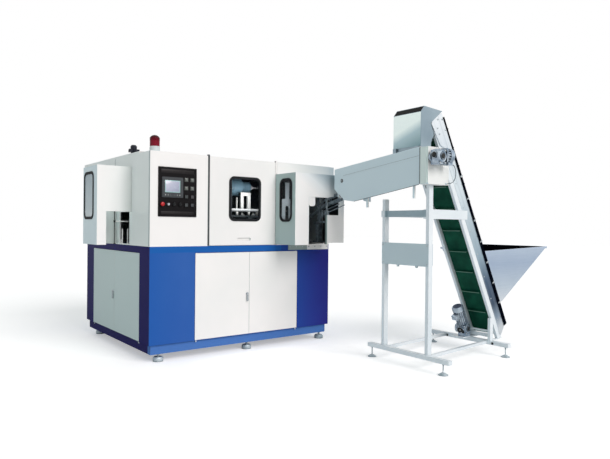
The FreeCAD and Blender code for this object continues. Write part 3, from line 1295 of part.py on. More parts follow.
# ---------------------------------------------------------------- hopper
def hopper():
    """Stainless hopper: sloping walls down to the belt, a stiff rim and a cut-back corner."""
    x0, x1 = hopper_rim_x
    y0, y1 = hopper_y
    corner_x, corner_y = hopper_corner

    def rim_height(x):
        share = (x - x0) / (x1 - x0)
        return hopper_rim_z[0] + share * (hopper_rim_z[1] - hopper_rim_z[0])

    def outline(inset, grow=0.0):
        edge = inset - grow
        return [(x0 + inset, y0 + inset), (x1 - edge, y0 + inset), (x1 - edge, y1 - edge),
                (corner_x + 0.51 * inset, y1 - edge), (x0 + inset, corner_y - 0.32 * inset)]

    def funnel(inset, lift):
        top = [V(x, y, rim_height(x) + lift) for x, y in outline(inset)]
        fx0, fx1 = hopper_foot_x[0] + inset, hopper_foot_x[1] - inset
        fy0, fy1 = hopper_foot_y[0] + inset, hopper_foot_y[1] - inset
        z = hopper_foot_z + lift
        foot = [V(fx0, fy0, z), V(fx1, fy0, z), V(fx1, fy1, z), V(fx0 + 30, fy1, z), V(fx0, fy1 - 40, z)]
        return funnel_between(foot, top)

    shell = cut(funnel(0, 0), [funnel(hopper_sheet, 3)])
    band = prism([V(x, y, rim_height(x) - hopper_rim_band) for x, y in outline(0, 6)], V(0, 0, hopper_rim_band))
    hole = prism([V(x, y, rim_height(x) - hopper_rim_band - 6) for x, y in outline(14)],
                 V(0, 0, hopper_rim_band + 14))
    band = cut(band, [hole])
    clear = incline_prism([(-400, -60), (-400, skirt_depth + 5), (1400, skirt_depth + 5), (1400, -60)],
                          (conveyor_y[0] - 20, conveyor_y[1] + 20))
    mouth = incline_prism([(340, skirt_depth - 5), (340, skirt_depth + 40), (820, skirt_depth + 20), (820, skirt_depth - 5)],
                          (conveyor_y[0] + 20, conveyor_y[1] - 20))
    return cut(fuse([shell, band]), [clear, mouth])


# ---------------------------------------------------------------- motor cable
cable_radius = 3.5
cable_route = [V(2107.15, -1792.45, 1879.5), V(2144, -1792.45, 1879.5), V(2168, -1793.5, 1853),
               V(2174, -1797, 1818), V(2171, -1800, 1783), V(2159, -1800, 1750), V(2144, -1792, 1722),
               V(2130, -1769, 1709), V(2130, -1735, 1709)]


def motor_cable():
    """Supply cable of the upper gearmotor: straight runs joined by tangent arcs."""
    edges = []
    here = cable_route[0]
    radii = []
    for before, corner, after in zip(cable_route, cable_route[1:], cable_route[2:]):
        into = corner - before
        out = after - corner
        turn = acos(max(-1.0, min(1.0, (into * out) / (into.Length * out.Length))))
        trim = 0.45 * min(into.Length, out.Length)
        radii.append(trim / tan(turn / 2))
        unit_in = V(into).normalize()
        unit_out = V(out).normalize()
        first = corner - unit_in * trim
        last = corner + unit_out * trim
        bisector = (unit_out - unit_in).normalize()
        reach = radii[-1] / cos(turn / 2) - radii[-1]
        middle = corner + bisector * reach
        edges.append(Part.LineSegment(here, first).toShape())
        edges.append(Part.Arc(first, middle, last).toShape())
        here = last
    edges.append(Part.LineSegment(here, cable_route[-1]).toShape())
    path = Part.Wire(edges)
    start_direction = cable_route[1] - cable_route[0]
    ring = Part.Wire(Part.makeCircle(cable_radius, cable_route[0], start_direction))
    tube = path.makePipeShell([ring], True, False)
    print("cable: length %.0f mm, smallest radius %.0f mm, volume ratio %.4f"
          % (path.Length, min(radii), tube.Volume / (pi * cable_radius ** 2 * path.Length)))
    return tube


# ---------------------------------------------------------------- the set of pieces
def all_pieces():
    pieces = {
        "base_frame": base_frame(), "cabinet_feet": cabinet_feet(),
        "front_door_left": front_door(True), "front_door_right": front_door(False),
        "front_door_latch": front_door_latch(),
        "end_door_left": end_door(False), "end_door_right": end_door(True), "end_door_latch": end_door_latch(),
        "electrical_panel": electrical_panel(), "air_receiver": air_receiver(),
        "upper_cabinet": upper_cabinet(), "door_guides": door_guides(), "centre_door": centre_door(),
        "centre_gasket": window_gasket(*centre_window_frame()), "centre_pane": window_pane(*centre_window_frame()),
        "infeed_box": infeed_box(), "outlet_box": outlet_box(), "box_gaskets": box_gaskets(),
        "box_panes": box_panes(),
        "beacon_base": beacon_base(), "beacon_dome": beacon_dome(), "beacon_reflector": beacon_reflector(),
        "roof_knob": roof_knob(),
        "panel_plate": panel_plate(), "hmi_housing": hmi_housing(), "indicator_lamps": indicator_lamps(),
        "estop_button": estop_button(), "key_switch": key_switch(),
        "selector_left": selector(selector_x[0]), "selector_right": selector(selector_x[1]),
        "machine_bed": machine_bed(), "clamp_cylinder": clamp_cylinder(), "clamp_rod": clamp_rod(),
        "moving_mould": moving_mould(), "preform_tray": preform_tray(), "infeed_bracket": infeed_bracket(),
        "infeed_rod": infeed_rod(), "heater_oven": heater_oven(),
        "elevator_frame": elevator_frame(), "elevator_feet": elevator_feet(), "control_box": control_box(),
        "side_panels": side_panels(), "skirts": skirts(), "belt": belt(),
        "head_drum": drum(head_distance, False), "tail_drum": drum(tail_distance, True),
        "head_hood": head_hood(), "hood_window": hood_window(), "trough": trough(),
        "roller_left": roller(roller_x[0]), "roller_right": roller(roller_x[1]),
        "kicker_wheel": kicker_wheel(), "gearmotors": gearmotors(), "preform_slide": preform_slide(),
        "hopper": hopper(), "motor_cable": motor_cable(),
    }
    number = 1
    for z in button_rows_z:
        for x in button_x:
            pieces["push_button_%d" % number] = push_button(x, z)
            number += 1
    return pieces


def main():
    os.makedirs("parts", exist_ok=True)
    for name, shape in all_pieces().items():
        shape.translate(footprint_centre)
        shape.exportStep("parts/%s.step" % name)


main()
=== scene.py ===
import bpy
import bmesh
from math import sin, cos, radians, pi
from mathutils import Vector, Matrix


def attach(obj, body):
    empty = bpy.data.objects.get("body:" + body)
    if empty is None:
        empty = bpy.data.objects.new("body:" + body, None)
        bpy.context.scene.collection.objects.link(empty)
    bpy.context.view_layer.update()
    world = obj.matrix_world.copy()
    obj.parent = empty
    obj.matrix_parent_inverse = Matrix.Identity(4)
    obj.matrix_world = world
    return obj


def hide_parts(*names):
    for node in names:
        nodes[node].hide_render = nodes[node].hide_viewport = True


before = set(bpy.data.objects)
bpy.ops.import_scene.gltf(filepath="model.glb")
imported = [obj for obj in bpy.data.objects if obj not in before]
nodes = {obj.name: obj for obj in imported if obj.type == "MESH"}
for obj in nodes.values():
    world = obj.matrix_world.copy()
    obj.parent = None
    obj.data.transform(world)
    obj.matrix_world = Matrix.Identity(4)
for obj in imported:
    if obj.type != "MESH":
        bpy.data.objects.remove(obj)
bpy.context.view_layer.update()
print("frame loaded:", len(nodes), "pieces")

mm = 0.001
# the drawing's corner (front left foot of the cabinet) in the frame's own metres
cornerX, cornerY = -1.886, -0.0575
beltAngle = radians(62.7)
downSlope = Vector((cos(beltAngle), 0.0, -sin(beltAngle)))
outOfSlope = Vector((sin(beltAngle), 0.0, cos(beltAngle)))
toLeft, toFront, toSky = (-1.0, 0.0, 0.0), (0.0, -1.0, 0.0), (0.0, 0.0, 1.0)
toRight = (1.0, 0.0, 0.0)


def place(x, y, z):
    # a point given in the machine's drawing, in millimetres, as a point in the frame
    return Vector((cornerX + x * mm, cornerY + y * mm, z * mm))


def slope(distance, depth, y):
    # a point on the elevator: distance runs down the belt, depth square to it
    return place(2535, y, 1360) + (downSlope * distance + outOfSlope * depth) * mm


def linear(hexText):
    # sRGB hex to the linear values that the shaders take
    parts = [int(hexText[i:i + 2], 16) / 255 for i in (1, 3, 5)]
    return tuple(c / 12.92 if c <= 0.04045 else ((c + 0.055) / 1.055) ** 2.4 for c in parts) + (1.0,)


def perMetre(size):
    # how often a pattern of this size in millimetres fits into a metre, which is a texture's scale
    return 1 / (size * mm)


def addNode(tree, kind, inputs, output=0, **settings):
    # one node with its settings and links; it gives back the output that the next node takes
    node = tree.nodes.new("ShaderNode" + kind)
    for key, value in settings.items():
        setattr(node, key, value)
    for key, value in inputs.items():
        if isinstance(value, bpy.types.NodeSocket):
            tree.links.new(value, node.inputs[key])
        else:
            node.inputs[key].default_value = linear(value) if isinstance(value, str) else value
    return node.outputs[output] if len(node.outputs) else node


def startMaterial(name):
    material = bpy.data.materials.new(name)
    material.use_nodes = True
    tree = material.node_tree
    tree.nodes.clear()
    return material, tree, addNode(tree, "TexCoord", {}, "Object")


def endMaterial(tree, inputs):
    shader = addNode(tree, "BsdfPrincipled", inputs)
    addNode(tree, "OutputMaterial", {"Surface": shader})


def measure(tree, spot, origin, direction):
    # how far a point lies from origin along a direction, in metres
    offset = addNode(tree, "VectorMath", {0: spot, 1: tuple(origin)}, operation="SUBTRACT")
    return addNode(tree, "VectorMath", {0: offset, 1: tuple(direction)}, "Value", operation="DOT_PRODUCT")


def colourAlong(tree, spot, fade):
    # colours placed along a direction: the stops are (metres from the origin, hex), lowest first
    origin, direction, stops = fade
    low, high = stops[0][0], stops[-1][0]
    distance = measure(tree, spot, origin, direction)
    part = addNode(tree, "MapRange", {"Value": distance, "From Min": low, "From Max": high})
    colour = addNode(tree, "ValToRGB", {"Fac": part})
    row = colour.node.color_ramp.elements
    row[0].color = linear(stops[0][1])
    row[1].color = linear(stops[-1][1])
    for where, tint in stops[1:-1]:
        row.new((where - low) / (high - low)).color = linear(tint)
    return colour


def within(tree, spot, low, high):
    # 1 inside a box given in the drawing, 0 outside it
    split = addNode(tree, "SeparateXYZ", {"Vector": spot}).node
    mask = None
    for axis, (a, b) in enumerate(zip(place(*low), place(*high))):
        hit = addNode(tree, "Math", {0: split.outputs[axis], 1: (a + b) / 2, 2: (b - a) / 2},
                      operation="COMPARE")
        if mask is not None:
            hit = addNode(tree, "Math", {0: mask, 1: hit}, operation="MULTIPLY")
        mask = hit
    return mask


def facing(tree, direction):
    # 1 on surfaces that look along a direction, give or take 60 degrees
    normal = addNode(tree, "NewGeometry", {}, "True Normal")
    part = addNode(tree, "VectorMath", {0: normal, 1: direction}, "Value", operation="DOT_PRODUCT")
    return addNode(tree, "Math", {0: part, 1: 0.5}, operation="GREATER_THAN")


def paintRegions(tree, spot, base, regions):
    # each region is a box in the drawing and the colour of what lies inside it
    for low, high, tint in regions:
        inside = within(tree, spot, low, high)
        base = addNode(tree, "Mix", {"Factor": inside, 6: base, 7: tint}, 2, data_type="RGBA")
    return base


def powderCoat(name, colour, shade, side=None, across=None, regions=(), rough=0.42, relief=0.05, shine=0.5):
    # folded sheet with baked powder paint: a soft sheen broken up by a faint orange peel, and
    # painted shade where the panels meet; the peel is really 1 mm and is drawn at 5 mm to show
    peel, drift = 5.0, 588.0
    material, tree, spot = startMaterial(name)
    cloud = addNode(tree, "TexNoise", {"Vector": spot, "Scale": perMetre(drift), "Detail": 3.0})
    patches = addNode(tree, "MapRange", {"Value": cloud, "From Min": 0.35, "From Max": 0.75})
    base = addNode(tree, "Mix", {"Factor": patches, 6: colour, 7: shade}, 2, data_type="RGBA")
    if across:
        # painted reflection and shade, swept across the fronts from one end to the other; the other faces
        # don't get it
        paintedSweep = colourAlong(tree, spot, (place(0, 0, 0), *across))
        veil = addNode(tree, "MapRange", {"Value": cloud, "From Min": 0.45, "From Max": 0.8, "To Max": 0.3})
        paintedSweep = addNode(tree, "Mix", {"Factor": veil, 6: paintedSweep, 7: shade}, 2, data_type="RGBA")
        front = facing(tree, toFront)
        base = addNode(tree, "Mix", {"Factor": front, 6: base, 7: paintedSweep}, 2, data_type="RGBA")
    # painted light and shade: faces that look left take the side colour, which stands in for the light they
    # get
    if side:
        left = facing(tree, toLeft)
        base = addNode(tree, "Mix", {"Factor": left, 6: base, 7: side}, 2, data_type="RGBA")
    base = paintRegions(tree, spot, base, regions)
    # painted shade: corners and gaps that less of the room's light reaches are darkened
    corner = addNode(tree, "AmbientOcclusion", {"Distance": 0.03}, "AO", samples=6)
    unshadedCorner = addNode(tree, "MapRange", {"Value": corner, "From Min": 0.35, "From Max": 0.95})
    paintedCornerShade = addNode(tree, "HueSaturation", {"Value": 0.86, "Color": base})
    base = addNode(tree, "Mix", {"Factor": unshadedCorner, 6: paintedCornerShade, 7: base}, 2, data_type="RGBA")
    orange = addNode(tree, "TexNoise", {"Vector": spot, "Scale": perMetre(peel), "Detail": 2.0})
    gloss = addNode(tree, "MapRange", {"Value": orange, "From Min": 0.3, "From Max": 0.7,
                                       "To Min": rough - 0.04, "To Max": rough + 0.06})
    bump = addNode(tree, "Bump", {"Height": orange, "Strength": relief, "Distance": 0.001})
    endMaterial(tree, {"Base Color": base, "Roughness": gloss, "Normal": bump, "IOR": 1.5,
                       "Specular IOR Level": shine})
    return material


def brushedStainless(name, colour, shade, turn=0.0, along=(1.0, 1.0, 1.0), rough=0.36, fade=None, regions=(),
                     paintedShadeInside=None, streaks=0.0, blotch=417.0, metal=0.86):
    # stainless sheet ground with a belt: long fine scratches along one way that stretch its
    # reflections; real scratches are 0.1 mm apart and are drawn at about 3 mm to show
    scratch, band = 3.03, 38.5
    material, tree, spot = startMaterial(name)
    lined = addNode(tree, "Mapping", {"Vector": spot, "Rotation": (0.0, turn, 0.0)})
    lined = addNode(tree, "Mapping", {"Vector": lined, "Scale": along})
    grain = addNode(tree, "TexNoise", {"Vector": lined, "Scale": perMetre(scratch), "Detail": 4.0})
    cloud = addNode(tree, "TexNoise", {"Vector": spot, "Scale": perMetre(blotch), "Detail": 3.0})
    patches = addNode(tree, "MapRange", {"Value": cloud, "From Min": 0.3, "From Max": 0.72})
    base = addNode(tree, "Mix", {"Factor": patches, 6: colour, 7: shade}, 2, data_type="RGBA")
    if fade:
        # painted reflection placed along a direction, which makes up most of the base
        paintedReflection = colourAlong(tree, spot, fade)
        base = addNode(tree, "Mix", {"Factor": 0.12, 6: paintedReflection, 7: base}, 2, data_type="RGBA")
    if streaks:
        stripe = addNode(tree, "TexNoise", {"Vector": lined, "Scale": perMetre(band), "Detail": 2.0})
        for start, full, tint in ((0.5, 0.68, "#f2f6fa"), (0.46, 0.32, "#3d5270")):
            part = addNode(tree, "MapRange", {"Value": stripe, "From Min": start, "From Max": full,
                                              "To Max": streaks})
            base = addNode(tree, "Mix", {"Factor": part, 6: base, 7: tint}, 2, data_type="RGBA")
    part = addNode(tree, "MapRange", {"Value": grain, "From Min": 0.3, "From Max": 0.7, "To Max": 0.22})
    base = addNode(tree, "Mix", {"Factor": part, 6: base, 7: shade}, 2, data_type="RGBA")
    if paintedShadeInside:
        # painted shade, near black and with no reflection, on the faces that look up, inside the sloping
        # walls
        normal = addNode(tree, "NewGeometry", {}, "True Normal")
        lift = addNode(tree, "SeparateXYZ", {"Vector": normal}, "Z")
        inner = addNode(tree, "Math", {0: lift, 1: 0.48, 2: 0.47}, operation="COMPARE")
        base = addNode(tree, "Mix", {"Factor": inner, 6: base, 7: paintedShadeInside}, 2, data_type="RGBA")
        metal = addNode(tree, "MapRange", {"Value": inner, "To Min": metal, "To Max": 0.0})
    base = paintRegions(tree, spot, base, regions)
    gloss = addNode(tree, "MapRange", {"Value": grain, "From Min": 0.25, "From Max": 0.75,
                                       "To Min": rough - 0.08, "To Max": rough + 0.1})
    bump = addNode(tree, "Bump", {"Height": grain, "Strength": 0.08, "Distance": 0.0005})
    endMaterial(tree, {"Base Color": base, "Metallic": metal, "Roughness": gloss, "Normal": bump,
                       "Specular IOR Level": 0.0 if paintedShadeInside else 0.5})
    return material


def mouldedPlastic(name, colour, shade, rough=0.45, spark=3.0, shine=0.5):
    # injection moulded ABS or nylon, or a printed film, with a spark texture: even colour, soft
    # highlights; the texture is really finer than 1 mm and is drawn at 3 to 6 mm to show
    material, tree, spot = startMaterial(name)
    skin = addNode(tree, "TexNoise", {"Vector": spot, "Scale": perMetre(spark), "Detail": 3.0})
    patches = addNode(tree, "MapRange", {"Value": skin, "From Min": 0.3, "From Max": 0.7})
    base = addNode(tree, "Mix", {"Factor": patches, 6: colour, 7: shade}, 2, data_type="RGBA")
    bump = addNode(tree, "Bump", {"Height": skin, "Strength": 0.08, "Distance": 0.0004})
    endMaterial(tree, {"Base Color": base, "Roughness": rough, "Normal": bump, "IOR": 1.46,
                       "Specular IOR Level": shine})
    return material


def castMetal(name, colour, shade, pocketShadeTint="#28323c", rough=0.5, metallic=0.35, regions=()):
    # sand-cast, blackened or thickly painted metal: a grainy skin, cloudy where it is handled, with
    # painted shade in its pockets; the grain is really 0.5 mm and is drawn at 2.4 mm to show
    sand, handled = 2.38, 71.4
    material, tree, spot = startMaterial(name)
    skin = addNode(tree, "TexNoise", {"Vector": spot, "Scale": perMetre(sand), "Detail": 5.0})
    cloud = addNode(tree, "TexNoise", {"Vector": spot, "Scale": perMetre(handled), "Detail": 2.0})
    patches = addNode(tree, "MapRange", {"Value": cloud, "From Min": 0.35, "From Max": 0.65})
    base = addNode(tree, "Mix", {"Factor": patches, 6: colour, 7: shade}, 2, data_type="RGBA")
    base = paintRegions(tree, spot, base, regions)
    # painted shade: pockets that less of the room's light reaches take the pocket shade tint
    pocketOcclusion = addNode(tree, "AmbientOcclusion", {"Distance": 0.03}, "AO", samples=6)
    unshadedPocket = addNode(tree, "MapRange", {"Value": pocketOcclusion, "From Min": 0.25, "From Max": 0.85})
    base = addNode(tree, "Mix", {"Factor": unshadedPocket, 6: pocketShadeTint, 7: base}, 2, data_type="RGBA")
    bump = addNode(tree, "Bump", {"Height": skin, "Strength": 0.25, "Distance": 0.0006})
    endMaterial(tree, {"Base Color": base, "Metallic": metallic, "Roughness": rough, "Normal": bump})
    return material


def turnedSteel(name, colour, shade="#8f9aa3", rough=0.22):
    # turned, milled or plated metal: bright, with faint cloudy handling marks
    mark = 22.2
    material, tree, spot = startMaterial(name)
    smear = addNode(tree, "TexNoise", {"Vector": spot, "Scale": perMetre(mark), "Detail": 4.0})
    gloss = addNode(tree, "MapRange", {"Value": smear, "From Min": 0.3, "From Max": 0.7,
                                       "To Min": rough - 0.06, "To Max": rough + 0.12})
    patches = addNode(tree, "MapRange", {"Value": smear, "From Min": 0.35, "From Max": 0.7})
    base = addNode(tree, "Mix", {"Factor": patches, 6: colour, 7: shade}, 2, data_type="RGBA")
    endMaterial(tree, {"Base Color": base, "Metallic": 1.0, "Roughness": gloss})
    return material


def softRubber(name, colour, shade, rough=0.7, shine=0.25):
    # moulded EPDM rubber or soft vinyl: dull, with a dusty bloom
    bloom = 26.3
    material, tree, spot = startMaterial(name)
    dust = addNode(tree, "TexNoise", {"Vector": spot, "Scale": perMetre(bloom), "Detail": 6.0})
    patches = addNode(tree, "MapRange", {"Value": dust, "From Min": 0.45, "From Max": 0.8})
    base = addNode(tree, "Mix", {"Factor": patches, 6: colour, 7: shade}, 2, data_type="RGBA")
    bump = addNode(tree, "Bump", {"Height": dust, "Strength": 0.1, "Distance": 0.0005})
    endMaterial(tree, {"Base Color": base, "Roughness": rough, "Normal": bump, "IOR": 1.52,
                       "Specular IOR Level": shine})
    return material


def clearSheet(name, colour, shade, opacity, rough=0.06, shine=0.5, fade=None, paintedGlare=None):
    # polycarbonate, in sheet or moulded: a tint, a smooth face, a little haze from cleaning
    wipe = 250.0
    material, tree, spot = startMaterial(name)
    haze = addNode(tree, "TexNoise", {"Vector": spot, "Scale": perMetre(wipe), "Detail": 4.0})
    patches = addNode(tree, "MapRange", {"Value": haze, "From Min": 0.35, "From Max": 0.75})
    tint = addNode(tree, "Mix", {"Factor": patches, 6: colour, 7: shade}, 2, data_type="RGBA")
    see = addNode(tree, "MapRange", {"Value": haze, "From Min": 0.3, "From Max": 0.8,
                                     "To Min": opacity, "To Max": opacity + 0.05})
    if fade:
        # painted reflection placed along a direction, which makes up most of the tint
        depth = colourAlong(tree, spot, fade)
        tint = addNode(tree, "Mix", {"Factor": 0.2, 6: depth, 7: tint}, 2, data_type="RGBA")
    if paintedGlare:
        # painted reflection: in this box of the drawing the pane is painted pale and made nearly opaque
        low, high, stops = paintedGlare
        glareTone = colourAlong(tree, spot, (place(*low), toSky, stops))
        mask = within(tree, spot, low, high)
        tint = addNode(tree, "Mix", {"Factor": mask, 6: tint, 7: glareTone}, 2, data_type="RGBA")
        glareCover = addNode(tree, "MapRange", {"Value": mask, "To Max": 0.82})
        see = addNode(tree, "Math", {0: see, 1: glareCover}, operation="MAXIMUM")
    endMaterial(tree, {"Base Color": tint, "Roughness": rough, "Alpha": see, "IOR": 1.58,
                       "Specular IOR Level": shine})
    return material


def beltCover(name):
    # PVC conveyor belt: dark green with a fabric print of 2 mm, drawn at 4 mm; the cleats'
    # free edges are paler
    fabric, wear = 4.0, 111.0
    material, tree, spot = startMaterial(name)
    lined = addNode(tree, "Mapping", {"Vector": spot, "Rotation": (0.0, -beltAngle, 0.0)})
    weave = addNode(tree, "TexVoronoi", {"Vector": lined, "Scale": perMetre(fabric)})
    cloud = addNode(tree, "TexNoise", {"Vector": lined, "Scale": perMetre(wear), "Detail": 5.0})
    patches = addNode(tree, "MapRange", {"Value": cloud, "From Min": 0.35, "From Max": 0.75})
    base = addNode(tree, "Mix", {"Factor": patches, 6: "#0a4334", 7: "#175c46"}, 2, data_type="RGBA")
    # the lower run's outer face lies 30 mm deep, and a cleat stands out from it towards 0
    depth = measure(tree, spot, slope(0, 0, 0), outOfSlope)
    paleCleatEdge = addNode(tree, "MapRange", {"Value": depth, "From Min": 0.0095, "From Max": 0.0045})
    base = addNode(tree, "Mix", {"Factor": paleCleatEdge, 6: base, 7: "#6f9485"}, 2, data_type="RGBA")
    bump = addNode(tree, "Bump", {"Height": weave, "Strength": 0.25, "Distance": 0.0006})
    endMaterial(tree, {"Base Color": base, "Roughness": 0.55, "Normal": bump, "IOR": 1.5,
                       "Specular IOR Level": 0.08})
    return material


def lensPlastic(name, colour, glow):
    # square acrylic lens over a small lamp: prisms 3 mm wide inside break its colour up
    prism = 3.03
    material, tree, spot = startMaterial(name)
    ridges = addNode(tree, "TexVoronoi", {"Vector": spot, "Scale": perMetre(prism)})
    part = addNode(tree, "MapRange", {"Value": ridges, "From Min": 0.0, "From Max": 0.7})
    base = addNode(tree, "Mix", {"Factor": part, 6: colour, 7: glow}, 2, data_type="RGBA")
    bump = addNode(tree, "Bump", {"Height": ridges, "Strength": 0.2, "Distance": 0.0004})
    endMaterial(tree, {"Base Color": base, "Roughness": 0.25, "Normal": bump, "IOR": 1.49,
                       "Coat Weight": 0.4, "Coat Roughness": 0.08})
    return material


def screenGlass(name):
    # glass over the touch screen, switched on with an empty page: pale, deeper to the lower right
    smudge = 16.7
    material, tree, spot = startMaterial(name)
    page = colourAlong(tree, spot, (place(141, 0, 1731), (0.75, 0.0, -0.66),
                                    [(0.0, "#c9c6d4"), (0.09, "#a9aabf"), (0.19, "#8b8fa8")]))
    cloud = addNode(tree, "TexNoise", {"Vector": spot, "Scale": perMetre(smudge), "Detail": 3.0})
    part = addNode(tree, "MapRange", {"Value": cloud, "From Min": 0.3, "From Max": 0.8, "To Max": 0.3})
    page = addNode(tree, "Mix", {"Factor": part, 6: page, 7: "#c3cfd4"}, 2, data_type="RGBA")
    inside = within(tree, spot, (149, -20, 1623), (288, 0, 1723))
    page = addNode(tree, "Mix", {"Factor": inside, 6: "#9cc0c0", 7: page}, 2, data_type="RGBA")
    endMaterial(tree, {"Base Color": page, "Roughness": 0.12, "IOR": 1.52, "Emission Color": page,
                       "Emission Strength": 0.12})
    return material


def dress(material, *names):
    for name in names:
        mesh = nodes[name].data
        mesh.materials.clear()
        mesh.materials.append(material)


# the regions are boxes in the drawing, from corner to corner, and the colour of what lies in them; side is
# the colour of the faces that look left, with their light and shade painted in
shadowed = "#14191c"
# near black, for the painted shade inside the hopper
paintedShadeBlack = "#050509"
whitePaint = powderCoat("whitePowderCoat", "#f2f0ee", "#e9eae8", side="#c6dada")
# painted shade inside the enclosure and on the shaded fold of its left front edge, and across paints the
# trough's shadow over the front's upper right
enclosurePaint = powderCoat("whiteEnclosurePaint", "#f2f0ee", "#e9eae8", side="#eef6f5",
                            across=((0.7, 0.0, 0.7), [(2.2, "#f2f0ee"), (2.5, "#eaecea"), (2.95, "#a3b3ba")]),
                            regions=[((9, 52, 1150), (2166, 1880, 1992), "#23292c"),
                                     ((-3, 4, 1104), (3, 30, 1999), "#a9b7ba")])
# painted shade inside the infeed box and on the back of its front wall left of the notch, a painted shadow of
# the box on its flange below that, and across paints the trough's shadow over its front's upper right
infeedPaint = powderCoat("whiteInfeedPaint", "#f2f0ee", "#e6e8e7", side="#aec5c3",
                         across=((0.55, 0.0, 0.83), [(2.3, "#f2f0ee"), (2.41, "#e3e7e8"), (2.51, "#a9b7be"),
                                                     (2.62, "#78909c")]),
                         regions=[((1421, -333, 1112), (2089, 6, 1864), shadowed),
                                  ((1421, -359, 1112), (1592, -330, 1864), shadowed),
                                  ((1590, -14, 1040), (1852, 2, 1111), "#94a39e")])
# inside the outlet box, its shading painted in as a slightly greyer tone; across paints shade over its front,
# deeper towards the cabinet
outletPaint = powderCoat("whiteOutletPaint", "#f3f1ef", "#e4e8e6", side="#dceff5",
                         across=(toRight, [(-0.34, "#f3f1ef"), (-0.12, "#eceeec"), (0.0, "#cfd6d3")]),
                         regions=[((-337, 466, 1109), (6, 898, 1879), "#e4ebe8")])
# the plinth's front, and the table's front edge as far as the infeed box; across paints a reflection that
# darkens the front towards its right end, and side paints the shade of its left end
bluePaint = powderCoat("bluePowderCoat", "#2c5fb0", "#1f4fa0", side="#18155a", rough=0.4, relief=0.08,
                       shine=0.03,
                       across=(toRight, [(0.0, "#295ca9"), (0.35, "#3762ab"), (1.1, "#2857a5"),
                                         (1.75, "#2a4698"), (2.175, "#302c84")]),
                       regions=[((5, -20, 60), (2300, 90, 171), "#4c76b8"),
                                ((5, -20, 1040), (1500, 20, 1105), "#225fab")])
# the portal's upper cross tube, in the trough's shade
tubePaint = powderCoat("whiteTubeEnamel", "#eef3f6", "#d5e0e6", side="#eef9ff", rough=0.3,
                       regions=[((1955, -1631, 1404), (2016, -1116, 1468), "#a3bac4")])
# the drive housing's left cheek, painted lighter than the trough's shaded side, and a painted shadow in the
# fold beside it
troughPaint = powderCoat("paleTroughEnamel", "#f4f4f1", "#e9ecea", side="#d9edf5", rough=0.32,
                         regions=[((1865, -1719, 1690), (1881, -1634, 2045), "#e6f6f3"),
                                  ((1865, -1634, 1690), (1881, -1622, 2045), "#6f8086")])
# the lower front tie bar of the press, which is white
bedPaint = powderCoat("greyMachineEnamel", "#4a5358", "#363e43", rough=0.4,
                      regions=[((996, 220, 1455), (1364, 260, 1495), "#eef3f5")])
bracketPaint = powderCoat("paleBracketEnamel", "#e6f2f8", "#cfe0e9", rough=0.4)
receiverPaint = powderCoat("greyTankEnamel", "#8b9aa2", "#6d7d86", rough=0.4)
cylinderPaint = powderCoat("blueGreyEnamel", "#86a9bd", "#5f8496", side="#7396a8", rough=0.3)
boxPaint = powderCoat("greyBoxEnamel", "#c3d0d6", "#a9bcc6", side="#cbdfe6", rough=0.38)
# three cable ducts, then the drives, the breakers, the contactors and the supply
wiringPaint = powderCoat("wiringPanelEnamel", "#b6bbbd", "#a2a8ab", rough=0.45,
                         regions=[((580, 360, 295), (1620, 419, 345), "#c8ccca"),
                                  ((580, 360, 615), (1620, 419, 665), "#c8ccca"),
                                  ((580, 360, 925), (1620, 419, 975), "#c8ccca"),
                                  ((610, 270, 675), (1050, 419, 895), "#3d444a"),
                                  ((1080, 340, 765), (1600, 419, 855), "#e3e4e0"),
                                  ((610, 330, 425), (1190, 419, 545), "#2c3135"),
                                  ((1250, 260, 375), (1550, 419, 565), "#7f868b")])

# painted reflection: the elevator's side plates are painted with a bright room at their top and a dark one
# near the hopper
slopeSteel = brushedStainless("slopeStainless", "#bccad6", "#7a90a6", turn=-beltAngle,
                              along=(0.01, 1.0, 1.0), streaks=0.12,
                              fade=(slope(0, 0, 0), downSlope,
                                    [(-1.05, "#f4f8fa"), (-0.8, "#e8eff3"), (-0.3, "#e8f2f5"),
                                     (0.1, "#c6d6dd"), (0.45, "#a2b9c6"), (0.72, "#2a4868"),
                                     (1.0, "#14304e"), (1.15, "#8fa2b4"), (1.28, "#eef2f5")]))
hoodSteel = brushedStainless("hoodStainless", "#a6b6bf", "#8496a1", along=(1.0, 0.01, 1.0), rough=0.4)
# painted shade, near black, inside the hopper and over the inner edges of its rim; painted light, palest at
# its foot
hopperSteel = brushedStainless("hopperStainless", "#b6c6da", "#8ea3be", along=(0.01, 1.0, 1.0), rough=0.4,
                               blotch=143.0, paintedShadeInside=paintedShadeBlack,
                               fade=(place(0, 0, 530), toSky,
                                     [(0.0, "#f4f8fb"), (0.16, "#d3dfea"), (0.4, "#b4c4d9"),
                                      (0.53, "#c3d1e2")]),
                               regions=[((2912, -770, 1040), (4102, -758, 1100), paintedShadeBlack),
                                        ((4088, -1590, 1040), (4100, -758, 1102), paintedShadeBlack),
                                        ((2912, -1592, 1050), (4102, -1580, 1100), paintedShadeBlack)])
slideSteel = brushedStainless("slideStainless", "#b3c2cc", "#5b6972", along=(1.0, 1.0, 0.02), rough=0.3,
                              blotch=33.3, metal=0.35)
# a painted reflection of the trough darkens the hood's front in its lower half
paleSheet = brushedStainless("paleHoodSheet", "#d3e2e2", "#b9ccd2", rough=0.45, blotch=111.0,
                             fade=(place(1900, -1280, 2364), (0.0, -0.35, -0.94),
                                   [(0.0, "#f4fffb"), (0.18, "#f2fdf9"), (0.26, "#a6bfc6"),
                                    (0.4, "#64878f")]))

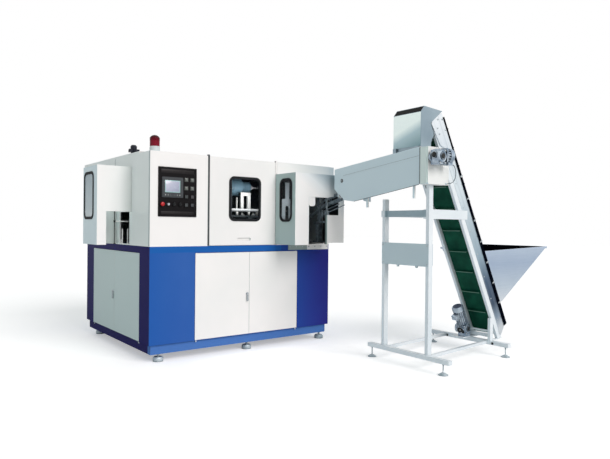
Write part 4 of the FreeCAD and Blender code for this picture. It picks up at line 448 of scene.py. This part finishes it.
brightSteel = turnedSteel("polishedSteel", "#d6dade")
rollerSteel = turnedSteel("rollerSteel", "#dde6e8", rough=0.3)
mouldBlock = turnedSteel("milledAluminium", "#c3c7cb", rough=0.34)
satinChrome = turnedSteel("satinChromeLatch", "#c5cbcf", "#9aa4aa", rough=0.38)
zincBolt = turnedSteel("zincPlatedBolt", "#d3d8da", "#a5adb2", rough=0.3)
darkSteel = castMetal("blackenedSteel", "#23292e", "#171b1f", pocketShadeTint="#0b0e10", rough=0.45)
# the right channel is painted white
guidePaint = castMetal("channelEnamel", "#2c3133", "#3a4144", pocketShadeTint="#121618", rough=0.4, metallic=0.0,
                       regions=[((1300, -60, 900), (1500, 60, 2100), "#eceae8")])
# painted shade, dark navy, in the gearmotors' pockets
gearCast = castMetal("gearmotorCasting", "#ccd9e4", "#8498ac", pocketShadeTint="#0e1726", rough=0.3, metallic=0.6)
footMetal = castMetal("zincedFoot", "#c9d4d9", "#9fb0b8", rough=0.45)

blackPlastic = mouldedPlastic("blackNylon", "#121415", "#1d2022", rough=0.4, shine=0.35)
knobPlastic = mouldedPlastic("navyKnobPlastic", "#101526", "#0b0f1c", rough=0.35, shine=0.35)
palePlastic = mouldedPlastic("paleBeaconBase", "#d6dfe0", "#c6d0d2")
screenCase = mouldedPlastic("greyScreenCase", "#3b4044", "#2b2f33", rough=0.5)
panelFace = mouldedPlastic("blackPanelFilm", "#0b090b", "#120f11", rough=0.4, spark=6.0, shine=0.12)
fieldFilm = mouldedPlastic("bareFieldFilm", "#1d1a1b", "#262223", rough=0.4, spark=6.0, shine=0.2)
nylonWhite = mouldedPlastic("whiteNylonRail", "#f4f5f2", "#e6e9e6", rough=0.35)
redHead = mouldedPlastic("redMushroomHead", "#c4161c", "#a30f16", rough=0.25)
# painted shade for the thin dark beads along the open seam and the trough's fold and lip
seamPale = mouldedPlastic("foldShadow", "#94a4a9", "#84959b", rough=0.6, shine=0.1)
seamShadow = mouldedPlastic("seamShadow", "#6f7f86", "#58676e", rough=0.6, shine=0.1)

gasketRubber = softRubber("windowRubber", "#0a0d12", "#161b22")
skirtRubber = softRubber("skirtRubber", "#04070f", "#0b1120", rough=0.8, shine=0.0)
hoodBlack = softRubber("blackBrowSheet", "#040405", "#090a0b", rough=0.5, shine=0.08)
cableSheath = softRubber("cableSheath", "#59666c", "#7b888e", rough=0.5)

doorPane = clearSheet("tintedPolycarbonate", "#070b0d", "#10171a", 0.08, shine=0.1)
# the outlet box's pane, on the left, with a painted reflection that is palest at its foot
boxPane = clearSheet("clearPolycarbonate", "#20292c", "#3a4548", 0.08, shine=0.15,
                     paintedGlare=((-360, 540, 1340), (-320, 900, 1840),
                             [(0.0, "#e3edf1"), (0.12, "#ccdbe2"), (0.35, "#b4c7d0"), (0.5, "#a3b8c4")]))
# a painted reflection makes the dome's top nearly black
redDome = clearSheet("redLensPlastic", "#7a0620", "#5a0518", 0.96, rough=0.18, shine=0.12,
                     fade=(place(78, 85, 2100), toSky,
                           [(0.0, "#7d0e26"), (0.03, "#5c0a1a"), (0.042, "#1a0508"), (0.06, "#080203")]))
beltGreen = beltCover("greenBeltCover")

dress(whitePaint, "front_door_left", "front_door_right", "end_door_left", "end_door_right", "centre_door")
dress(enclosurePaint, "upper_cabinet")
dress(infeedPaint, "infeed_box")
dress(outletPaint, "outlet_box")
dress(bluePaint, "base_frame")
dress(footMetal, "cabinet_feet", "elevator_feet")
dress(satinChrome, "front_door_latch", "end_door_latch")
dress(blackPlastic, "selector_left", "selector_right")
dress(knobPlastic, "roof_knob")
dress(wiringPaint, "electrical_panel")
dress(bedPaint, "machine_bed")
dress(bracketPaint, "infeed_bracket")
dress(receiverPaint, "air_receiver")
dress(darkSteel, "head_drum", "tail_drum")
dress(slideSteel, "preform_slide")
dress(guidePaint, "door_guides")
dress(gasketRubber, "centre_gasket", "box_gaskets", "kicker_wheel")
dress(doorPane, "centre_pane")
dress(boxPane, "box_panes")
dress(palePlastic, "beacon_base")
dress(redDome, "beacon_dome")
dress(brightSteel, "beacon_reflector", "key_switch", "clamp_rod", "infeed_rod", "heater_oven")
dress(rollerSteel, "roller_left", "roller_right")
dress(panelFace, "panel_plate")
dress(screenCase, "hmi_housing")
dress(redHead, "estop_button")
dress(cylinderPaint, "clamp_cylinder")
dress(mouldBlock, "moving_mould")
dress(nylonWhite, "preform_tray")
dress(tubePaint, "elevator_frame")
dress(boxPaint, "control_box")
dress(slopeSteel, "side_panels")
dress(skirtRubber, "skirts")
dress(beltGreen, "belt")
dress(hoodSteel, "head_hood")
dress(troughPaint, "trough")
dress(paleSheet, "hood_window")
dress(gearCast, "gearmotors")
dress(hopperSteel, "hopper")
dress(lensPlastic("lampLens", "#5b605c", "#454a46"), "indicator_lamps")
for number, tint in ((1, "#36433c"), (2, "#45383a"), (3, "#4b504e"), (4, "#3b4043")):
    dress(lensPlastic("buttonCap%d" % number, tint, "#20262a"), "push_button_%d" % number)
print("materials made")


def block(shape, low, high, edge):
    # a box between two corners in the drawing, with its edges rounded by so many millimetres
    a, b = place(*low), place(*high)
    corners = [shape.verts.new((x, y, z)) for x in (a.x, b.x) for y in (a.y, b.y) for z in (a.z, b.z)]
    sides = [shape.faces.new([corners[i] for i in face]) for face in
             ((0, 1, 3, 2), (4, 6, 7, 5), (0, 4, 5, 1), (2, 3, 7, 6), (0, 2, 6, 4), (1, 5, 7, 3))]
    edges = list(dict.fromkeys(e for side in sides for e in side.edges))
    bmesh.ops.bevel(shape, geom=edges, offset=edge * mm, segments=2, profile=0.5, affect="EDGES")


def slab(shape, outline, push):
    # a flat sheet: outline of points in the frame, pushed by a vector in millimetres
    under = [shape.verts.new(p) for p in outline]
    over = [shape.verts.new(p + Vector(push) * mm) for p in outline]
    shape.faces.new(under)
    shape.faces.new(over)
    for k in range(len(outline)):
        following = (k + 1) % len(outline)
        shape.faces.new([under[k], under[following], over[following], over[k]])


def turned(shape, profile, base, axis, steps=28):
    # a turned part: profile of (along, radius) in millimetres from a base point in the frame
    axis = Vector(axis).normalized()
    side = axis.orthogonal().normalized()
    other = axis.cross(side)
    rings = []
    for along, radius in profile:
        centre = base + axis * along * mm
        turns = [2 * pi * k / steps for k in range(steps)] if radius else [0.0]
        rings.append([shape.verts.new(centre + (side * cos(t) + other * sin(t)) * radius * mm)
                      for t in turns])
    for near, far in zip(rings, rings[1:]):
        for k in range(steps):
            following = (k + 1) % steps
            # a ring of no radius is one point, which its faces share
            ring = [near[k % len(near)], near[following % len(near)],
                    far[following % len(far)], far[k % len(far)]]
            corners = list(dict.fromkeys(ring))
            if len(corners) > 2:
                shape.faces.new(corners)


def hexBolt(shape, base, axis, size):
    # hexagon head of a screw on its washer, whose radius is about the size
    rim, sheet = size * 1.05, size * 0.22
    corner, top, chamfer = size * 0.72, size * 0.86, size * 0.14
    washer = [(0, rim), (sheet, rim), (sheet, 0)]
    head = [(sheet, corner), (top - chamfer, corner), (top, corner - chamfer), (top, 0)]
    turned(shape, washer, base, axis, steps=18)
    turned(shape, head, base, axis, steps=6)


def show(piece, material, body):
    bpy.context.scene.collection.objects.link(piece)
    piece.data.materials.append(material)
    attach(piece, body)


def makePiece(name, shape, material, body="machine", smooth=35):
    bmesh.ops.recalc_face_normals(shape, faces=shape.faces)
    mesh = bpy.data.meshes.new(name)
    shape.to_mesh(mesh)
    shape.free()
    for face in mesh.polygons:
        face.use_smooth = True
    mesh.set_sharp_from_angle(angle=radians(smooth))
    show(bpy.data.objects.new(name, mesh), material, body)


def bead(name, routes, radius, material, closed=False):
    # round beads along routes of points in the frame, as one piece
    curve = bpy.data.curves.new(name, "CURVE")
    curve.dimensions = "3D"
    curve.bevel_depth = radius * mm
    curve.bevel_resolution = 2
    for route in routes:
        line = curve.splines.new("POLY")
        line.points.add(len(route) - 1)
        for point, spot in zip(line.points, route):
            point.co = (*spot, 1.0)
        line.use_cyclic_u = closed
    show(bpy.data.objects.new(name, curve), material, "machine")


# corners are (x, z) in the drawing, a face is its (front, back) as y, and an edge its rounding
panel = {"screen": ((141, 1615), (296, 1731)), "screenFace": (-16.9, -15.8), "screenGap": 0.5,
         "screenEdge": 0.4, "fieldEdge": 0.5, "keyEdge": 0.9, "lampEdge": 1.1,
         "fields": (((108, 1800), (444, 1836)), ((108, 1408), (444, 1436))), "fieldFace": (-7.3, -6.0),
         "keys": 6, "firstKey": 150, "keyPitch": 27.5, "keyHalf": 8, "keyRow": (1586, 1596),
         "keyFace": (-18.9, -16.0),
         "lampColumns": (362, 424), "lampRows": (1744, 1662), "lampHalf": 12, "lampFace": (-18.2, -16.0),
         "border": ((84, 1391), (468, 1851)), "borderY": -6.5, "borderRadius": 1.6}


def makePanel():
    screen = bmesh.new()
    (left, bottom), (right, top) = panel["screen"]
    front, back = panel["screenFace"]
    gap = panel["screenGap"]
    block(screen, (left + gap, front, bottom + gap), (right - gap, back, top - gap), panel["screenEdge"])
    makePiece("screenFace", screen, screenGlass("touchScreenGlass"))

    fields = bmesh.new()
    front, back = panel["fieldFace"]
    for (left, bottom), (right, top) in panel["fields"]:
        block(fields, (left, front, bottom), (right, back, top), panel["fieldEdge"])
    makePiece("panelFields", fields, fieldFilm)

    keys = bmesh.new()
    front, back = panel["keyFace"]
    bottom, top = panel["keyRow"]
    half = panel["keyHalf"]
    for k in range(panel["keys"]):
        x = panel["firstKey"] + k * panel["keyPitch"]
        block(keys, (x - half, front, bottom), (x + half, back, top), panel["keyEdge"])
    makePiece("screenKeys", keys, mouldedPlastic("paleKeyCaps", "#b9bebb", "#a3a8a6"))

    lamps = bmesh.new()
    front, back = panel["lampFace"]
    half = panel["lampHalf"]
    for x in panel["lampColumns"]:
        for z in panel["lampRows"]:
            block(lamps, (x - half, front, z - half), (x + half, back, z + half), panel["lampEdge"])
    makePiece("lampLenses", lamps, lensPlastic("lampLensFace", "#7b807b", "#5c615c"))

    (left, bottom), (right, top) = panel["border"]
    corners = ((left, bottom), (right, bottom), (right, top), (left, top))
    bead("panelBorder", [[place(x, panel["borderY"], z) for x, z in corners]], panel["borderRadius"],
         fieldFilm, closed=True)


makePanel()
print("panel dressed")

# dome, ribFoot and ribTop are radii
beacon = {"centre": (78, 85, 2110), "ribs": 9, "ribPitch": 3.4, "ribWidth": 2.8, "firstRib": -6,
          "dome": 45.0, "ribFoot": 46.0, "ribTop": 47.4}


def makeBeacon():
    # fresnel ribs moulded round the dome
    ribs = bmesh.new()
    profile = [(beacon["firstRib"] - 2, beacon["dome"])]
    for k in range(beacon["ribs"]):
        start = beacon["firstRib"] + k * beacon["ribPitch"]
        profile += [(start, beacon["ribFoot"]), (start + beacon["ribWidth"] / 2, beacon["ribTop"]),
                    (start + beacon["ribWidth"], beacon["ribFoot"])]
    profile.append((profile[-1][0] + 1, beacon["dome"]))
    turned(ribs, profile, place(*beacon["centre"]), toSky, steps=48)
    makePiece("beaconLensRibs", ribs, redDome, smooth=60)


makeBeacon()

# back and front are the worm housing's two ends along the motor, worm the motor's height over
# the output shaft, and size the scale of the upper motor's frame against the lower one's
gears = {"lower": {"centre": (2984, -1310, 232), "motor": -downSlope, "size": 1.0, "back": 46, "front": 50,
                   "worm": 0, "length": 230},
         "upper": {"centre": (1922, -1792.45, 1937), "motor": toRight, "size": 1.15, "back": 33, "front": 50,
                   "worm": -12, "length": 98}}
# a profile is a row of (along, radius); all but the plug and the glands grow with the frame
gearTrim = {"shaftCap": [(0, 21), (2, 21), (3, 18), (2.4, 0)], "shaftCapAt": -54,
            "wormCap": [(0, 22), (2, 22), (4, 18), (4, 0)], "wormCapAt": 10,
            "seal": [(0, 24), (1.5, 24), (1.5, 20), (0.5, 18)], "sealAt": -45.2,
            "boxPlug": [(0, 43), (2, 43), (4, 38), (2.6, 0)], "boxPlugAt": (6, 0, -64),
            "sideBolts": (-44, 52), "sideBoltAt": -42, "sideBoltInset": 12, "sideBolt": 8,
            "flangeBolts": (-45, 45), "flangeAt": 10, "flangeBolt": 6,
            "glands": (-14, 22), "glandAt": -56, "gland": [(0, 7), (6, 7), (6, 9), (12, 9), (15, 6), (15, 0)],
            "cowlAt": -2, "cowlRim": 47, "louvres": 5, "firstLouvre": 44, "louvrePitch": 8,
            "cowlSkin": 0.4, "louvreHeight": 2.6, "louvreFoot": 4, "louvreSlant": 1}


def makeGearTrim(name, gear):
    motor = Vector(gear["motor"]).normalized()
    shaft = Vector((0, 1, 0))
    up = shaft.cross(motor)
    size, worm, back, front = (gear[key] for key in ("size", "worm", "back", "front"))

    def at(along, across, height):
        return place(*gear["centre"]) + (motor * along + shaft * across + up * height) * size * mm

    def scaled(profile):
        return [(along * size, radius * size) for along, radius in profile]

    caps = bmesh.new()
    turned(caps, scaled(gearTrim["shaftCap"]), at(0, gearTrim["shaftCapAt"], 0), -shaft)
    turned(caps, scaled(gearTrim["wormCap"]), at(-back - gearTrim["wormCapAt"], 0, worm), -motor)
    turned(caps, scaled(gearTrim["seal"]), at(0, gearTrim["sealAt"], 0), -shaft)
    if name == "lower":
        turned(caps, gearTrim["boxPlug"], at(*gearTrim["boxPlugAt"]), -up, steps=36)
    makePiece(name + "GearCaps", caps, blackPlastic)

    bolts = bmesh.new()
    for along in (gearTrim["sideBoltInset"] - back, front - gearTrim["sideBoltInset"]):
        for height in gearTrim["sideBolts"]:
            hexBolt(bolts, at(along, gearTrim["sideBoltAt"], height), -shaft, gearTrim["sideBolt"] * size)
    for across in gearTrim["flangeBolts"]:
        for height in gearTrim["flangeBolts"]:
            hexBolt(bolts, at(front + gearTrim["flangeAt"], across, worm + height), motor,
                    gearTrim["flangeBolt"] * size)
    for along in gearTrim["glands"]:
        turned(bolts, gearTrim["gland"], at(along, 0, gearTrim["glandAt"]), -up, steps=6)
    makePiece(name + "GearBolts", bolts, zincBolt)

    # louvred inlet of the fan cowl: rings that stand out of its end
    cowl = bmesh.new()
    skin, high = gearTrim["cowlSkin"], gearTrim["louvreHeight"]
    foot, slant = gearTrim["louvreFoot"], gearTrim["louvreSlant"]
    profile = [(0, gearTrim["cowlRim"] * size)]
    for k in range(gearTrim["louvres"]):
        radius = (gearTrim["firstLouvre"] - gearTrim["louvrePitch"] * k) * size
        profile += [(skin, radius), (high, radius - slant), (high, radius - foot + slant),
                    (skin, radius - foot)]
    profile.append((skin, 0))
    turned(cowl, profile, at(front + gear["length"] + gearTrim["cowlAt"], 0, worm), motor, steps=36)
    makePiece(name + "CowlGrille", cowl, castMetal(name + "CowlSteel", "#4d5d78", "#37445c", rough=0.4))


for name, gear in gears.items():
    makeGearTrim(name, gear)
print("beacon and gearmotors dressed")

# the head's plate screws as (distance, depth), the side plates' row, and the control box's screws
screws = {"head": ((-1033, 91), (-961, 49), (-903, 51), (-1010, 150), (-905, 150)), "headY": -1611.3,
          "headSize": 9, "plate": range(-640, 1181, 260), "plateDepth": 78, "plateY": -1603.3, "plateSize": 6,
          "boxX": 1960, "boxY": (-1652, -1095), "boxZ": (966, 1136), "boxSize": 6}


def makeElevatorBolts():
    bolts = bmesh.new()
    for distance, depth in screws["head"]:
        hexBolt(bolts, slope(distance, depth, screws["headY"]), toFront, screws["headSize"])
    for distance in screws["plate"]:
        hexBolt(bolts, slope(distance, screws["plateDepth"], screws["plateY"]), toFront, screws["plateSize"])
    for z in screws["boxZ"]:
        for y in screws["boxY"]:
            hexBolt(bolts, place(screws["boxX"], y, z), toLeft, screws["boxSize"])
    makePiece("elevatorBolts", bolts, zincBolt)


clip = {"distances": range(-420, 1021, 240), "width": 16, "height": 36, "sheet": 1.6, "depth": 166,
        "y": -1609.0, "screw": 4.5, "screwDepth": 176}


def makeSkirtClips():
    # bright clips that hold the rubber skirt
    clips = bmesh.new()
    rise = outOfSlope * clip["height"] * mm
    for distance in clip["distances"]:
        a = slope(distance, clip["depth"], clip["y"])
        b = slope(distance + clip["width"], clip["depth"], clip["y"])
        slab(clips, [a, b, b + rise, a + rise], (0, -clip["sheet"], 0))
        middle = slope(distance + clip["width"] / 2, clip["screwDepth"], clip["y"] - clip["sheet"])
        hexBolt(clips, middle, toFront, clip["screw"])
    makePiece("skirtClips", clips, zincBolt)


plug = {"profile": [(0, 13), (2.2, 13), (3.4, 10), (3.4, 0)], "x": 3025, "z": 116, "y": (-1627, -1057)}


def makeRailPlugs():
    # plastic plugs in the right floor rail's side
    plugs = bmesh.new()
    for y in plug["y"]:
        turned(plugs, plug["profile"], place(plug["x"], y, plug["z"]), toLeft, steps=24)
    makePiece("railPlugs", plugs, blackPlastic)


brow = {"eave": (1901, -1611, 2364.6), "roof": (1941, -1611, 2414.6), "width": 330, "push": (-0.9, 0, 0.7)}


def makeHoodBrow():
    # dark sheet over the hood's brow, between its eave and its roof
    sheet = bmesh.new()
    a, b = place(*brow["eave"]), place(*brow["roof"])
    width = Vector((0, brow["width"] * mm, 0))
    slab(sheet, [a, b, b + width, a + width], brow["push"])
    makePiece("hoodBrow", sheet, hoodBlack)


spindle = {"feet": ((1962, -1848), (1962, -955), (3050, -1765), (3050, -838)), "z": 21, "length": 60,
           "turns": 14, "pitch": 4.2, "core": 5.6, "crest": 6.6, "crestAt": 1, "rootAt": 3}


def makeFootThreads():
    # threads of the elevator's levelling feet, with a pitch drawn coarse enough to show
    threads = bmesh.new()
    profile = [(0, spindle["core"])]
    for k in range(spindle["turns"]):
        start = k * spindle["pitch"]
        profile += [(start + spindle["crestAt"], spindle["crest"]),
                    (start + spindle["rootAt"], spindle["core"])]
    profile.append((spindle["length"], spindle["core"]))
    for x, y in spindle["feet"]:
        turned(threads, profile, place(x, y, spindle["z"]), toSky, steps=20)
    makePiece("footThreads", threads, zincBolt)


weld = {"posts": (-1668, -1115), "x": (1963, 2019), "reach": (-1, 37), "z": 141, "radius": 3.0}


def makeFrameWelds():
    # welds round the feet of the portal's posts
    left, right = weld["x"]
    near, far = weld["reach"]
    corners = ((left, near), (right, near), (right, far), (left, far))
    routes = [[place(x, y + step, weld["z"]) for x, step in corners] for y in weld["posts"]]
    bead("frameWelds", routes, weld["radius"], tubePaint, closed=True)


makeElevatorBolts()
makeSkirtClips()
makeRailPlugs()
makeHoodBrow()
makeFootThreads()
makeFrameWelds()
print("elevator dressed")

flange = {"x": (1612, 1700, 1788, 1876, 1964, 2052, 2138), "y": -8, "z": 1079, "size": 7}


def makeFlangeBolts():
    bolts = bmesh.new()
    for x in flange["x"]:
        hexBolt(bolts, place(x, flange["y"], flange["z"]), toFront, flange["size"])
    makePiece("flangeBolts", bolts, zincBolt)


# bright rolled edge of the notch in the infeed box, then beads of painted shade along an open seam
# and two folds, which show as thin dark lines; each is its route, its radius, its paint and its slot
lines = {"infeedEdge": ([(1598, -360.6, 1112), (1598, -360.6, 1617), (1850, -360.6, 1617),
                         (1850, -360.6, 1112)], 1.4, whitePaint, "door_white"),
         "endSeamShade": ([(-0.2, 945, 1884), (-0.2, 945, 1996)], 1.5, seamShadow, "door_white"),
         "troughFoldShade": ([(1879.6, -581, 1843.5), (1879.6, -1612, 1958)], 1.1, seamPale, "frame_white"),
         "troughLipShade": ([(1880, -1618, 1696), (1880, -752, 1567.5)], 2.6, seamShadow, "frame_white")}


def makeLines():
    for name, (route, radius, paint, slotName) in lines.items():
        bead(name, [[place(*point) for point in route]], radius, paint)


outlet = {"post": (-122, 600, 1110),
          "postProfile": [(0, 0), (0, 14), (6, 14), (8, 4.5), (388, 4.5), (390, 3), (390, 0)],
          "collarZ": 1327, "collarProfile": [(0, 0), (0, 9), (22, 9), (22, 0)],
          "arm": (-118, 600, 1338), "armProfile": [(0, 0), (0, 5), (138, 5), (140, 4), (140, 0)],
          "rods": (-42, 14), "rodProfile": [(0, 0), (0, 12), (5, 12), (6, 6), (150, 6), (154, 3), (154, 0)]}


def makeOutletGuides():
    # standing guide rods for the bottles behind the outlet's notch
    x, y, z = outlet["post"]
    post = bmesh.new()
    turned(post, outlet["postProfile"], place(x, y, z), toSky, steps=20)
    turned(post, outlet["collarProfile"], place(x, y, outlet["collarZ"]), toSky, steps=16)
    makePiece("outletPost", post, darkSteel)
    rods = bmesh.new()
    turned(rods, outlet["armProfile"], place(*outlet["arm"]), toRight, steps=16)
    for rodX in outlet["rods"]:
        turned(rods, outlet["rodProfile"], place(rodX, y, z), toSky, steps=18)
    makePiece("outletRods", rods, nylonWhite)


# the cylinder's front has a clear bore for the rod
press = {"cylinder": (1090, 425, 1738),
         "cylinderProfile": [(0, 27), (0, 101), (3, 104), (113, 104), (116, 101), (116, 66), (124, 66),
                             (124, 62), (170, 62), (174, 67), (240, 67), (246, 58), (248, 50), (248, 27),
                             (0, 27)],
         "nose": (1352, 425, 1738),
         "noseProfile": [(0, 0), (0, 26), (10, 28), (22, 24), (40, 12), (92, 5), (96, 0)],
         "stops": (((1343, 222, 1424), (1365, 228, 1488)), ((1062, 223, 1430), (1084, 230, 1458)),
                   ((1214, 223, 1430), (1236, 230, 1458))), "stopEdge": 2}


def makePressFront():
    front = bmesh.new()
    turned(front, press["cylinderProfile"], place(*press["cylinder"]), toRight, steps=48)
    makePiece("cylinderFront", front, cylinderPaint)
    nose = bmesh.new()
    turned(nose, press["noseProfile"], place(*press["nose"]), toRight)
    makePiece("rodNose", nose, nylonWhite, body="clamp")
    # white stop plates that hang on the lower tie bar in front of the preform tray
    stops = bmesh.new()
    for low, high in press["stops"]:
        block(stops, low, high, press["stopEdge"])
    makePiece("trayRail", stops, nylonWhite)


# the outline is (x, z) in the drawing, round the plate with its stem on top and the opening below
arch = {"y": -50, "sheet": 6, "edge": 1,
        "outline": [(1458, 1116), (1458, 1585), (1473, 1600), (1514, 1603), (1514, 1781), (1566, 1781),
                    (1566, 1603), (1575, 1600), (1587, 1585), (1587, 1116), (1558, 1116), (1558, 1510),
                    (1548, 1526), (1527, 1526), (1517, 1510), (1517, 1116)]}


def makeLifterArch():
    # arched guard plate of the preform lifter behind the infeed box's window
    plate = bmesh.new()
    slab(plate, [place(x, arch["y"], z) for x, z in arch["outline"]], (0, arch["sheet"], 0))
    bmesh.ops.recalc_face_normals(plate, faces=plate.faces)
    bmesh.ops.bevel(plate, geom=plate.edges[:], offset=arch["edge"] * mm, segments=1, affect="EDGES")
    makePiece("lifterArch", plate, bracketPaint)


bearing = {"cap": (1879, -562, 1790), "nut": (1871, -562, 1790),
           "capProfile": [(0, 20), (3, 20), (5, 17), (5, 12), (2, 11), (2, 7), (7, 7), (8, 5), (8, 0)],
           "nutProfile": [(0, 6), (5, 6), (6, 4.5), (6, 0)]}


def makeBearing():
    # flanged bearing of the paddle wheel on the trough's side
    cap = bmesh.new()
    turned(cap, bearing["capProfile"], place(*bearing["cap"]), toLeft, steps=32)
    makePiece("bearingCap", cap, darkSteel)
    nut = bmesh.new()
    turned(nut, bearing["nutProfile"], place(*bearing["nut"]), toLeft, steps=6)
    makePiece("bearingNut", nut, zincBolt)


makeFlangeBolts()
makeLines()
makeOutletGuides()
makePressFront()
makeLifterArch()
makeBearing()
print("cabinet dressed")

# the upper gearmotor's lead, from its terminal box to the gland on the drive housing
cable = {"radius": 3.5, "length": 0.270,
         "route": [(2107.15, -1792.45, 1879.5), (2144, -1792.45, 1879.5), (2168, -1793.5, 1853),
                   (2174, -1797, 1818), (2171, -1800, 1783), (2159, -1800, 1750), (2144, -1792, 1722),
                   (2130, -1769, 1709), (2130, -1735, 1709)]}


def makeCable():
    curve = bpy.data.curves.new("motorLead", "CURVE")
    curve.dimensions = "3D"
    curve.bevel_depth = cable["radius"] * mm
    curve.bevel_resolution = 5
    curve.resolution_u = 12
    spline = curve.splines.new("NURBS")
    spline.points.add(len(cable["route"]) - 1)
    for point, spot in zip(spline.points, cable["route"]):
        point.co = (*place(*spot), 1.0)
    spline.order_u = 3
    spline.use_endpoint_u = True
    lead = bpy.data.objects.new("motorLead", curve)
    show(lead, cableSheath, "machine")
    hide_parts("motor_cable")


makeCable()
print("cord made")

# metres and degrees; the focal length is in pixels of the photograph, which is imageWidth wide
view = {"position": (-3.9533, -5.1046, 1.3055), "yaw": 37.65, "pitch": -0.319, "roll": 0.57,
        "focalPixels": 564.785, "imageWidth": 610, "sensorWidth": 36.0, "farthest": 100.0}


def makeCamera():
    yaw, pitch, roll = (radians(view[key]) for key in ("yaw", "pitch", "roll"))
    ahead = Vector((sin(yaw) * cos(pitch), cos(yaw) * cos(pitch), sin(pitch)))
    right = ahead.cross(Vector(toSky)).normalized()
    up = right.cross(ahead)
    rolledRight = right * cos(roll) + up * sin(roll)
    rolledUp = up * cos(roll) - right * sin(roll)
    data = bpy.data.cameras.new("photoCamera")
    data.sensor_width = view["sensorWidth"]
    data.lens = view["focalPixels"] / view["imageWidth"] * data.sensor_width
    data.clip_end = view["farthest"]
    camera = bpy.data.objects.new("photoCamera", data)
    stance = Matrix((rolledRight, rolledUp, -ahead)).transposed().to_4x4()
    camera.matrix_world = Matrix.Translation(Vector(view["position"])) @ stance
    bpy.context.scene.collection.objects.link(camera)
    bpy.context.scene.camera = camera


# fill is the world's strength on the object; the camera, metal and glass see it as white
light = {"fill": 0.41, "fillTone": (0.93, 1.0, 1.0, 1.0), "white": (1.0, 1.0, 1.0, 1.0),
         "key": 1.98, "keyTone": (1.0, 0.95, 0.945), "direction": (-0.1, 0.85, -0.52), "softness": 35}


def makeLight():
    # an even cool fill from all round and one broad warm key from the front
    world = bpy.data.worlds.new("studio")
    bpy.context.scene.world = world
    world.use_nodes = True
    tree = world.node_tree
    tree.nodes.clear()
    rays = addNode(tree, "LightPath", {}).node.outputs
    seen = rays["Is Camera Ray"]
    for ray in ("Is Glossy Ray", "Is Transmission Ray"):
        seen = addNode(tree, "Math", {0: seen, 1: rays[ray]}, operation="MAXIMUM")
    level = addNode(tree, "MapRange", {"Value": seen, "To Min": light["fill"], "To Max": 1.0})
    tone = addNode(tree, "Mix", {"Factor": seen, 6: light["fillTone"], 7: light["white"]}, 2,
                   data_type="RGBA")
    sky = addNode(tree, "Background", {"Color": tone, "Strength": level})
    addNode(tree, "OutputWorld", {"Surface": sky})
    key = bpy.data.lights.new("keyLight", "SUN")
    key.energy = light["key"]
    key.color = light["keyTone"]
    key.angle = radians(light["softness"])
    lamp = bpy.data.objects.new("keyLight", key)
    lamp.rotation_euler = Vector(light["direction"]).to_track_quat("-Z", "Y").to_euler()
    bpy.context.scene.collection.objects.link(lamp)


# each lamp's place in the drawing and its power in watts
workLights = {"pressLight": ((1190, 120, 1640), 1.6), "lifterLight": ((1445, -320, 1560), 1.4),
              "outletLight": ((-200, 640, 1560), 0.8)}
workLightRadius = 60


def makeWorkLights():
    # small lamps inside the guards, so that what is behind the panes and the outlet's notch shows
    for name, (spot, power) in workLights.items():
        data = bpy.data.lights.new(name, "POINT")
        data.energy = power
        data.shadow_soft_size = workLightRadius * mm
        lamp = bpy.data.objects.new(name, data)
        lamp.location = place(*spot)
        lamp.visible_camera = False
        lamp.visible_glossy = False
        bpy.context.scene.collection.objects.link(lamp)


# lift is what only the camera sees, so that the floor is white and keeps the shadow
floorPlan = {"half": 40.0, "drop": 0.001, "colour": (0.9, 0.9, 0.9, 1.0), "lift": 0.4}


def makeFloor():
    mesh = bpy.data.meshes.new("floor")
    half, level = floorPlan["half"], -floorPlan["drop"]
    corners = [(-half, -half, level), (half, -half, level), (half, half, level), (-half, half, level)]
    mesh.from_pydata(corners, [], [(0, 1, 2, 3)])
    floor = bpy.data.objects.new("floor", mesh)
    bpy.context.scene.collection.objects.link(floor)
    material, tree = startMaterial("paleStudioFloor")[:2]
    matte = addNode(tree, "BsdfDiffuse", {"Color": floorPlan["colour"]})
    camera = addNode(tree, "LightPath", {}, "Is Camera Ray")
    lift = addNode(tree, "Math", {0: camera, 1: floorPlan["lift"]}, operation="MULTIPLY")
    glow = addNode(tree, "Emission", {"Color": light["white"], "Strength": lift})
    both = addNode(tree, "AddShader", {0: matte, 1: glow})
    addNode(tree, "OutputMaterial", {"Surface": both})
    mesh.materials.append(material)


makeCamera()
makeLight()
makeWorkLights()
makeFloor()
bpy.context.scene.view_settings.view_transform = "Standard"
print("camera, light and floor set")
